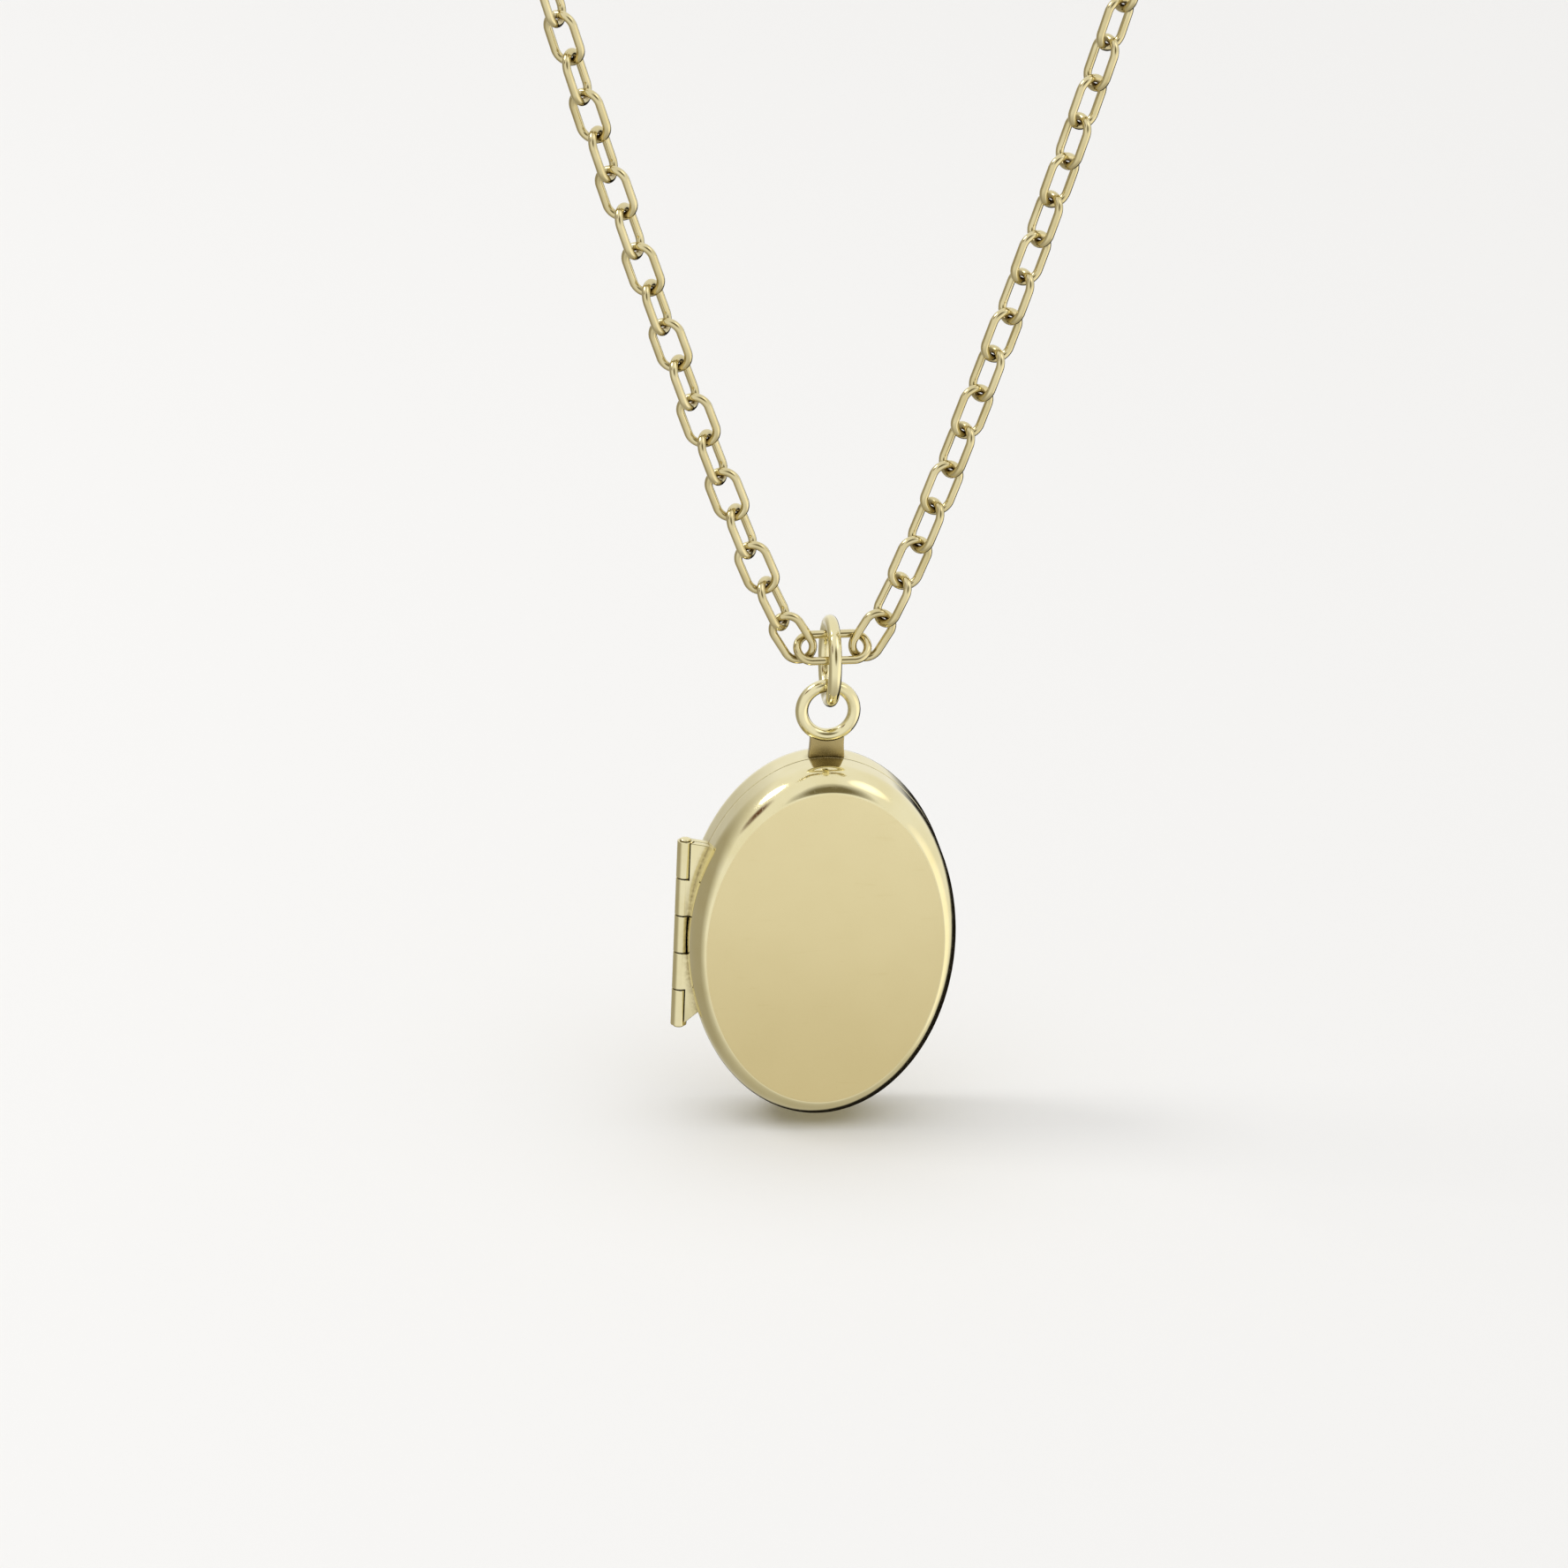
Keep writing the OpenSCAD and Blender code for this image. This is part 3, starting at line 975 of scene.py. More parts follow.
@dataclass
class Hinge:
    """The knuckle row and its pin, in the locket's own frame, in millimetres."""

    barrel: float = 0.78
    length: float = 9.6
    knuckles: int = 5
    gap: float = 0.05
    pin: float = 0.36
    head: float = 0.56
    head_rise: float = 0.12
    solder: float = 0.02
    play: float = 0.03
    air: float = 0.06
    x: float = field(default_factory=lambda: middle_of("back_knuckles").x)

    @property
    def pitch(self) -> float:
        """Length of one knuckle with its gap."""
        return self.length / self.knuckles

    def heights(self, half: Half) -> list[float]:
        """Gives the middles of one half's knuckles."""
        first = 1 if half is Half.FRONT else 0
        return [(i + 0.5 - self.knuckles / 2) * self.pitch for i in range(first, self.knuckles, 2)]

    def rod(self, name: str, radius: float, height: float, length: float) -> bpy.types.Object:
        """Makes a rod on the hinge's axis."""
        middle = Vector((self.x, 0, height))
        half = Vector((0, 0, length / 2))
        return Bench.rod(name, radius, middle - half, middle + half, 96)

    def room(self, half: Half) -> bpy.types.Object:
        """Makes the tool that clears a half's edge for its own knuckles and the other half's."""
        other = Half.BACK if half is Half.FRONT else Half.FRONT
        seat = self.rod("seat", self.barrel / 2, 0, self.length + 2 * self.air)
        clear = self.pitch + 2 * self.air
        return Bench.joined(
            seat, [self.rod("clear", self.barrel / 2 + self.air, z, clear) for z in self.heights(other)]
        )

    def knuckle(self, half: Half) -> bpy.types.Object:
        """Makes one knuckle with rounded ends, from its bore outwards."""
        outer, half_l = self.barrel / 2, (self.pitch - self.gap) / 2
        bore = self.pin / 2 + (self.play if half is Half.FRONT else self.solder)
        end = [
            (bore, half_l - HOLD),
            (bore + HOLD, half_l),
            (outer - SOFT_EDGE - HOLD, half_l),
            (outer - SOFT_EDGE, half_l),
            (outer - ARC_MIDDLE * SOFT_EDGE, half_l - ARC_MIDDLE * SOFT_EDGE),
            (outer, half_l - SOFT_EDGE),
            (outer, half_l - SOFT_EDGE - HOLD),
        ]
        profile = end + [(r, -h) for r, h in reversed(end)]
        return Bench.turned("knuckle", [(r, r, h) for r, h in profile], closed=True, count=72)

    def build(self, dresser: Dresser) -> None:
        """Makes the knuckles of both halves and the riveted pin."""
        for half in (Half.BACK, Half.FRONT):
            name = half.word + "_knuckles"
            places = [in_locket(self.x, 0, z) for z in self.heights(half)]
            row = Bench.copies(self.knuckle(half), places)
            row.name = "rounded_" + name
            Bench.polish(row)
            dresser.hand_over(row, half.body, [name], Finish.POLISHED)
        self.build_pin(dresser)

    def build_pin(self, dresser: Dresser) -> None:
        """Makes the pin, whose two heads are domed by riveting."""
        end, dome = self.length / 2, 5
        brim, rise = self.head / 2, self.head_rise - HOLD
        profile = [(self.pin / 2, end), (brim - HOLD / 2, end), (brim, end + HOLD)]
        for step in range(1, dome + 1):
            turn = math.radians(84 * step / dome)
            profile.append((brim * math.cos(turn), end + HOLD + rise * math.sin(turn)))
        rings = [(r, r, -h) for r, h in reversed(profile)] + [(r, r, h) for r, h in profile]
        pin = Bench.turned("riveted_pin", rings, closed=False, count=48)
        Bench.put(pin, in_locket(self.x, 0, 0))
        Bench.polish(pin, 50)
        dresser.hand_over(pin, "locket_back", ["hinge_pin"], Finish.POLISHED)


@dataclass
class Shells:
    """The two stamped halves of the case, in the locket's own frame, in millimetres."""

    hinge: Hinge
    wall: float = 0.35
    seam: float = 0.02
    rim: float = 0.95
    rim_turn: float = 1.45
    nick_depth: float = 0.18
    nick_length: float = 2.4
    nick_radius: float = 0.6
    around: int = 176
    wide: float = HALF_WIDE
    tall: float = HALF_TALL
    deep: float = 2.4
    bearer_from: float = 0.98
    bearer_root: float = 0.2
    bearer_round: float = 0.05
    low_slant: float = 1.2
    high_slant: float = 0.25

    @property
    def turn_start(self) -> float:
        """Depth at which the rounded rim starts."""
        return self.deep - math.sqrt(self.rim_turn**2 - (self.rim_turn - self.rim) ** 2)

    def ring(self, inset: float, reach: float, depth: float) -> Ring:
        """Gives one ring of a form that keeps the outline's proportions at an inset."""
        return (reach * (self.wide - inset) / (self.tall - inset), reach, depth)

    def rim_rings(self, inset: float, low: float, high: float, steps: int) -> list[Ring]:
        """Gives the rings round the rim between two angles, in degrees from the side."""
        turn, centre, rings = self.rim_turn - inset, self.tall - self.rim_turn, []
        for step in range(steps + 1):
            angle = math.radians(low + (high - low) * step / steps)
            reach, depth = centre + turn * math.cos(angle), self.turn_start + turn * math.sin(angle)
            rings.append(self.ring(inset, reach, depth))
        return rings

    def rings(self) -> list[Ring]:
        """Draws the section from the inner floor over the lip to the flat face."""
        floor = self.deep - self.wall
        inner_turn = self.rim_turn - self.wall
        inner_end = math.degrees(math.asin((floor - self.turn_start) / inner_turn))
        crease = math.degrees(math.asin((self.deep - self.turn_start) / self.rim_turn))
        edge = self.tall - self.rim
        floor_edge = self.tall - self.rim_turn + inner_turn * math.cos(math.radians(inner_end))
        lip = self.tall - self.wall
        inner, outer = self.wall, 0.0
        return [
            self.ring(inner, floor_edge - 0.1, floor),
            *self.rim_rings(inner, inner_end, 0, 8),
            self.ring(inner, lip, self.seam + 2 * SOFT_EDGE),
            self.ring(inner, lip, self.seam + SOFT_EDGE),
            self.ring(inner, lip + SOFT_EDGE, self.seam),
            self.ring(outer, self.tall - 0.06, self.seam),
            self.ring(outer, self.tall - 0.05, self.seam),
            self.ring(outer, self.tall - 0.015, self.seam + 0.015),
            self.ring(outer, self.tall, self.seam + 0.05),
            self.ring(outer, self.tall, self.seam + 0.08),
            self.ring(outer, self.tall, (self.seam + self.turn_start) / 2),
            *self.rim_rings(outer, 0, crease - 2.2, 18),
            self.ring(outer, edge - 0.005, self.deep - 0.004),
            self.ring(outer, edge - 0.05, self.deep),
            self.ring(outer, edge - 0.09, self.deep),
        ]

    def shell(self, half: Half, dresser: Dresser) -> None:
        """Makes one shell with its hinge seat and its half of the fingernail nick."""
        name = half.word + "_shell"
        shell = Bench.turned(f"stamped_{name}", self.rings(), closed=False, count=self.around)
        Bench.put(shell, laid(half))
        Bench.combine(shell, self.hinge.room(half), "DIFFERENCE")
        nick_x = self.wide - self.nick_depth + self.nick_radius
        low, high = (Vector((nick_x, 0, side * self.nick_length / 2)) for side in (-1, 1))
        Bench.combine(shell, Bench.rod("nick", self.nick_radius, low, high, 96), "DIFFERENCE")
        dresser.cover(shell, Finish.POLISHED, Finish.SATIN)
        Bench.edit(shell, "FACE")
        face_y = -half.value * self.deep * MM
        Bench.pick(shell, "FACE", lambda face: all(abs(v.co.y - face_y) < 0.003 * MM for v in face.verts))
        shell.active_material_index = 1
        bpy.ops.object.material_slot_assign()
        Bench.take(shell)
        Bench.put(shell, in_locket())
        Bench.polish(shell, 26)
        dresser.hand_over(shell, half.body, [name], Finish.SATIN)

    def case(self) -> bpy.types.Object:
        """Makes a tool with the locket's upright oval side, in the locket's own frame."""
        rings = [(self.wide, self.tall, depth) for depth in (-2 * self.deep, 2 * self.deep)]
        return Bench.put(Bench.turned("case", rings, closed=False, count=self.around), laid(Half.FRONT))

    def bearer(self, half: Half, dresser: Dresser) -> None:
        """Makes the two blocks that join the ends of the knuckle row to the shell's curved edge."""
        reach = self.wide * (1 - math.sqrt(1 - (self.hinge.length / 2 / self.tall) ** 2))
        inner_x = -self.wide + reach + self.bearer_root
        near, far = -half.value * self.seam, -half.value * self.hinge.barrel / 2
        blocks = []
        for end in (-1, 1):
            heights = sorted((end * self.bearer_from, end * self.hinge.length / 2))
            low = Vector((self.hinge.x, min(near, far), heights[0]))
            block = Bench.bar("bearer", low, Vector((inner_x, max(near, far), heights[1])))
            Bench.edit(block)
            corner = (inner_x - 0.01) * MM
            last = (self.hinge.length / 2 - 0.01) * MM
            Bench.pick(block, "VERT", lambda vertex: vertex.co.x > corner and end * vertex.co.z > last)
            slant = self.high_slant if end > 0 else self.low_slant
            bpy.ops.transform.translate(value=(0, 0, -end * slant * MM))
            Bench.take(block)
            Bench.soften(block, self.bearer_round, 60, 3)
            blocks.append(block)
        piece = Bench.joined(blocks[0], blocks[1:])
        name = half.word + "_bearer"
        piece.name = "rounded_" + name
        Bench.combine(piece, self.case(), "DIFFERENCE")
        Bench.combine(piece, self.hinge.room(half), "DIFFERENCE")
        Bench.put(piece, in_locket())
        Bench.polish(piece, 35)
        dresser.hand_over(piece, half.body, [name], Finish.POLISHED)

    def build(self, dresser: Dresser) -> None:
        """Makes both shells and the small blocks beside the hinge."""
        for half in (Half.BACK, Half.FRONT):
            self.shell(half, dresser)
            self.bearer(half, dresser)


@dataclass
class Inside:
    """What the closed locket hides: catch rim, frames, windows, cards and linings, in millimetres."""

    wide: float = HALF_WIDE
    tall: float = HALF_TALL
    around: int = 160
    catch_outer: float = 0.37
    catch_inner: float = 0.62
    catch_rise: float = 0.45
    catch_root: float = 0.53
    catch_step: float = 0.04
    bead: float = 0.035
    frame_outer: float = 0.41
    frame_width: float = 0.8
    frame_top: float = 0.55
    frame_back: float = 0.9
    pane_inset: float = 0.51
    pane_back: float = 1.08
    pane_clear: float = 0.01

    def band(self, name: str, profile: Sequence[tuple[float, float]], half: Half) -> bpy.types.Object:
        """Makes an oval band from a closed profile of insets and depths."""
        rings = [(self.wide - inset, self.tall - inset, depth) for inset, depth in profile]
        return Bench.put(Bench.turned(name, rings, closed=True, count=self.around), laid(half))

    def catch_rim(self, dresser: Dresser) -> None:
        """Makes the raised rim that the cover closes over, with its bead."""
        outer, inner = self.catch_outer + self.catch_step, self.catch_inner - HOLD
        top, corner = -self.catch_rise, ARC_MIDDLE * SOFT_EDGE
        profile = [
            (self.catch_outer, self.catch_root),
            (self.catch_outer, 0),
            (self.catch_outer, -HOLD),
            (outer, -HOLD),
            (outer, -2 * HOLD),
            (outer, top + SOFT_EDGE),
            (outer + corner, top + corner),
            (outer + SOFT_EDGE, top),
            (inner - SOFT_EDGE, top),
            (inner - corner, top + corner),
            (inner, top + SOFT_EDGE),
            (inner, 0),
            (self.catch_inner, 0.01),
            (self.catch_inner, self.catch_root),
        ]
        rim = self.band("raised_catch_rim", profile, Half.BACK)
        bead_x, bead_y = self.wide - outer, -self.catch_rise / 2
        bead = Bench.rod("bead", self.bead, Vector((bead_x, bead_y, -1)), Vector((bead_x, bead_y, 1)), 24)
        Bench.combine(rim, bead, "UNION")
        Bench.put(rim, in_locket())
        Bench.polish(rim)
        dresser.hand_over(rim, "locket_back", ["catch_rim"], Finish.POLISHED)

    def frame(self, half: Half, dresser: Dresser) -> None:
        """Makes one picture frame with a rounded outer edge and a bevelled inner one."""
        name = half.word + "_frame"
        outer, inner = self.frame_outer, self.frame_outer + self.frame_width
        top, back = self.frame_top, self.frame_back
        profile = [
            (outer, back),
            (outer, back - 0.03),
            (outer, top + 0.06),
            (outer + 0.02, top + 0.02),
            (outer + 0.06, top),
            (outer + 0.09, top),
            (inner - 0.30, top),
            (inner - 0.27, top),
            (inner - 0.24, top + 0.012),
            (inner - 0.03, top + 0.15),
            (inner, top + 0.19),
            (inner, top + 0.22),
            (inner, back - 0.02),
            (inner, back),
        ]
        piece = self.band("bevelled_" + name, profile, half)
        Bench.put(piece, in_locket())
        Bench.polish(piece, 22)
        dresser.hand_over(piece, half.body, [name], Finish.POLISHED)

    def window(self, half: Half, dresser: Dresser) -> None:
        """Makes one clear window with softened edges, just clear of the frame and the card."""
        name = half.word + "_window"
        top, back = self.frame_back + self.pane_clear, self.pane_back - self.pane_clear
        profile = [
            (self.pane_inset + SOFT_EDGE, top),
            (self.pane_inset, top + SOFT_EDGE),
            (self.pane_inset, back - SOFT_EDGE),
            (self.pane_inset + SOFT_EDGE, back),
        ]
        rings = [(self.wide - inset, self.tall - inset, depth) for inset, depth in profile]
        pane = Bench.turned("clear_" + name, rings, closed=False, count=self.around)
        Bench.put(pane, in_locket() @ laid(half))
        Bench.polish(pane)
        dresser.hand_over(pane, half.body, [name], Finish.WINDOW)

    def build(self, dresser: Dresser) -> None:
        """Makes the catch rim, frames and windows, and dresses what lies under them."""
        self.catch_rim(dresser)
        for half in (Half.BACK, Half.FRONT):
            self.frame(half, dresser)
            self.window(half, dresser)
            dresser.keep(half.word + "_card", Finish.CARD)
            dresser.keep(half.word + "_lining", Finish.POLISHED)


@dataclass
class Rings:
    """The fixed ring on its foot, and the jump ring, in millimetres."""

    ring_radius: float = 1.27
    ring_wire: float = 0.62
    set_back: float = 0.33
    ring_height: float = field(default_factory=lambda: (middle_of("fixed_ring") - LOCKET_MIDDLE).z)
    jump_radius: float = 1.91
    jump_wire: float = 0.64
    jump_height: float = field(default_factory=lambda: (middle_of("jump_ring") - LOCKET_MIDDLE).z)
    foot_width: float = 1.75
    foot_top_width: float = 1.66
    foot_thickness: float = 0.44
    foot_root: float = 8.6
    foot_block: float = 0.3
    foot_top: float = 10.03
    foot_waist: tuple[tuple[float, float], ...] = ((9.15, 1.72), (9.35, 1.67), (9.6, 1.64), (9.8, 1.64))
    solder: float = 0.02
    seam_at: float = 62
    seam_draw: float = 0.95

    def fixed_ring(self, dresser: Dresser) -> None:
        """Makes the fixed ring."""
        ring = Bench.hoop("round_fixed_ring", self.ring_radius, self.ring_wire, 96, 32)
        Bench.put(ring, in_locket(0, self.set_back, self.ring_height))
        Bench.polish(ring, 60)
        dresser.hand_over(ring, "locket_back", ["fixed_ring"], Finish.POLISHED)

    def foot(self, dresser: Dresser) -> None:
        """Makes the foot: a block drawn in towards the ring, cut to the case and to the ring."""
        front, back = self.set_back - self.foot_thickness / 2, self.set_back + self.foot_thickness / 2
        half_w, height, width = self.foot_width / 2, self.foot_root + self.foot_block, self.foot_width
        low, high = Vector((-half_w, front, self.foot_root)), Vector((half_w, back, height))
        block = Bench.bar("waisted_foot", low, high)
        middle_y = (front + back) / 2 * MM
        Bench.edit(block, "FACE")
        for next_height, next_width in (*self.foot_waist, (self.foot_top, self.foot_top_width)):
            Bench.pick(block, "FACE", lambda face: face.normal.z > 0.9)
            rise = (0, 0, (next_height - height) * MM)
            bpy.ops.mesh.extrude_region_move(TRANSFORM_OT_translate={"value": rise})
            bpy.ops.transform.resize(value=(next_width / width, 1, 1), center_override=(0, middle_y, 0))
            height, width = next_height, next_width
        Bench.take(block)
        Bench.soften(block, 0.06, 50, 3)
        outline = [(HALF_WIDE + self.solder, HALF_TALL + self.solder, y) for y in (-3.0, 3.0)]
        case = Bench.put(Bench.turned("case", outline, closed=False, count=192), laid(Half.FRONT))
        Bench.combine(block, case, "DIFFERENCE")
        seat = Bench.hoop("seat", self.ring_radius, self.ring_wire + 2 * self.solder, 96, 32)
        Bench.combine(block, Bench.put(seat, shifted(0, self.set_back, self.ring_height)), "DIFFERENCE")
        low, high = (Vector((0, y, self.ring_height)) for y in (-1, 2))
        Bench.combine(block, Bench.rod("eye", self.ring_radius, low, high, 96), "DIFFERENCE")
        Bench.put(block, in_locket())
        Bench.polish(block, 35)
        # Painted shade: the foot takes a darker copy of the polished gold for the shade it sits in under the ring
        dresser.cover(block, Finish.SOLDERED)
        dresser.hand_over(block, "locket_back", ["ring_foot"], Finish.POLISHED)

    def jump_ring(self, dresser: Dresser) -> None:
        """Makes the jump ring, with the fine line where its wire closes."""
        around = 96
        ring = Bench.hoop("closed_jump_ring", self.jump_radius, self.jump_wire, around, 32)
        seam = math.radians(self.seam_at)
        Bench.edit(ring)
        span = math.pi / around

        def on_seam(vertex: bmesh.types.BMVert) -> bool:
            """Says whether a point lies on the ring's closing line."""
            return abs(math.atan2(vertex.co.z, vertex.co.x) - seam) < span

        Bench.pick(ring, "VERT", on_seam)
        middle = upright_way(self.seam_at) * self.jump_radius * MM
        bpy.ops.transform.resize(value=[self.seam_draw] * 3, center_override=middle)
        Bench.take(ring)
        Bench.put(ring, in_locket(0, self.set_back, self.jump_height) @ spun(90, "Z"))
        Bench.polish(ring, 60)
        dresser.hand_over(ring, "jump_ring", ["jump_ring"], Finish.POLISHED)

    def build(self, dresser: Dresser) -> None:
        """Makes the ring, its foot and the jump ring."""
        self.fixed_ring(dresser)
        self.foot(dresser)
        self.jump_ring(dresser)


# ---------------------------------------------------------------- Chain


def oval_link(
    name: str, inner_l: float, inner_w: float, wire: float, around: int = 48, across: int = 18
) -> bpy.types.Object:
    """Makes an oval link of round wire, long along Z and facing the front.

    Args:
        name: Name of the new piece.
        inner_l: Inner length, in millimetres.
        inner_w: Inner width, in millimetres.
        wire: Thickness of the wire, in millimetres.
        around: Segments round the link.
        across: Segments round the wire.

    Returns:
        The new piece, in its own frame.
    """
    link = Bench.hoop(name, (inner_w + wire) / 2, wire, around, across)
    Bench.edit(link)
    for way in (-1, 1):
        Bench.pick(link, "VERT", lambda vertex: vertex.co.z * way > 0)
        bpy.ops.transform.translate(value=(0, 0, way * (inner_l - inner_w) / 2 * MM))
    Bench.take(link)
    return link


@dataclass
class Chain:
    """The middle link and the two sides of the chain, in millimetres and degrees."""

    wire: float = 0.4
    inner_l: float = 2.05
    inner_w: float = 1.0
    links: int = 19
    centre_l: float = 3.0
    centre_tilt: float = 45
    play: float = 0.03
    hook_lean: float = 21.4
    hook_play: float = 0.024
    width: float = 1.8
    bar_rise: float = 1.37
    swing: float = -1.65
    lean_top: float = 17
    lean_spread: float = 4.3
    lean_hook: float = 10
    lean_fade: float = 0.4
    turn_low: float = 8
    turn_gain: float = 31
    turn_between: float = -60

    def share(self, i: int) -> float:
        """Gives how far along its side a link is, from 0 at the hook to 1."""
        return i / (self.links - 1)

    def lean(self, i: int) -> float:
        """Gives a link's lean from upright, in degrees."""
        return self.lean_top + self.lean_spread * (1 - self.share(i)) + self.lean_hook * self.lean_fade**i

    def turn(self, i: int) -> float:
        """Gives a link's turn about its own length, in degrees."""
        return self.turn_between if i % 2 else self.turn_low + self.turn_gain * self.share(i)

    def along(self, i: int) -> Vector:
        """Gives the way that a link points."""
        lean = math.radians(self.lean(i))
        return Vector((math.sin(lean), 0, math.cos(lean)))

    def bar(self) -> Vector:
        """Gives the middle of the bar that the jump ring hangs on."""
        return middle_of("jump_ring") + Vector((0, 0, self.bar_rise))

    def centre(self) -> Vector:
        """Gives the middle of the middle link, before the whole chain leans."""
        tilt, half_w = math.radians(self.centre_tilt), (self.inner_w + self.wire) / 2
        return self.bar() - Vector((0, math.cos(tilt), math.sin(tilt))) * half_w

    def held(self, side: Side) -> Matrix:
        """Lays a right-hand piece on a side, and leans it with the whole chain about the bar."""
        bar = self.bar()
        return shifted(*bar) @ spun(self.swing, "Y") @ shifted(*-bar) @ mirrored(side)

    def places(self) -> list[Vector]:
        """Gives the middles of the right-hand links, before the whole chain leans."""
        centre = self.centre()
        hook, lean = self.inner_l / 2 - self.wire - self.hook_play, math.radians(self.hook_lean)
        out, up = (self.centre_l + self.wire) / 2 + hook * math.sin(lean), centre.z + hook * math.cos(lean)
        rows = [Vector((out, centre.y, up))]
        for i in range(1, self.links):
            rows.append(rows[-1] + (self.along(i - 1) + self.along(i)) * (self.inner_l - self.play) / 2)
        return rows

    def beyond(self, distance: float) -> Matrix:
        """Gives a place past the last right-hand link, in line with it."""
        last = self.links - 1
        place = self.places()[last]
        return shifted(*place) @ spun(self.lean(last), "Y") @ shifted(0, 0, distance)

    def route(self, side: Side) -> list[Vector]:
        """Gives the line through one side of the chain, from its first hook to its end, in metres."""
        rows = self.places()
        start = rows[0] - self.along(0) * self.inner_l / 2
        end = rows[-1] + self.along(self.links - 1) * self.inner_l / 2
        held = self.held(side)
        return [held @ (point * MM) for point in (start, *rows, end)]

    def centre_link(self, dresser: Dresser) -> bpy.types.Object:
        """Makes the longer link that the jump ring hangs on."""
        link = oval_link("long_centre_link", self.centre_l, self.inner_w, self.wire, 64, 24)
        place = self.held(Side.RIGHT) @ shifted(*self.centre())
        Bench.put(link, place @ spun(self.centre_tilt - 90, "X") @ spun(90, "Y"))
        Bench.polish(link, 60)
        return dresser.hand_over(link, "chain", ["centre_link"], Finish.CHAIN)

    def build_side(self, side: Side, dresser: Dresser) -> bpy.types.Object:
        """Makes one side of the chain, link by link, as one hooked row."""
        name = side.name.lower() + "_chain"
        master = oval_link("hooked_" + name, self.inner_l, self.inner_w, self.wire)
        places = [
            self.held(side) @ shifted(*place) @ spun(self.lean(i), "Y") @ spun(self.turn(i), "Z")
            for i, place in enumerate(self.places())
        ]
        row = Bench.copies(master, places)
        Bench.polish(row, 60)
        return dresser.hand_over(row, "chain", [name], Finish.CHAIN)


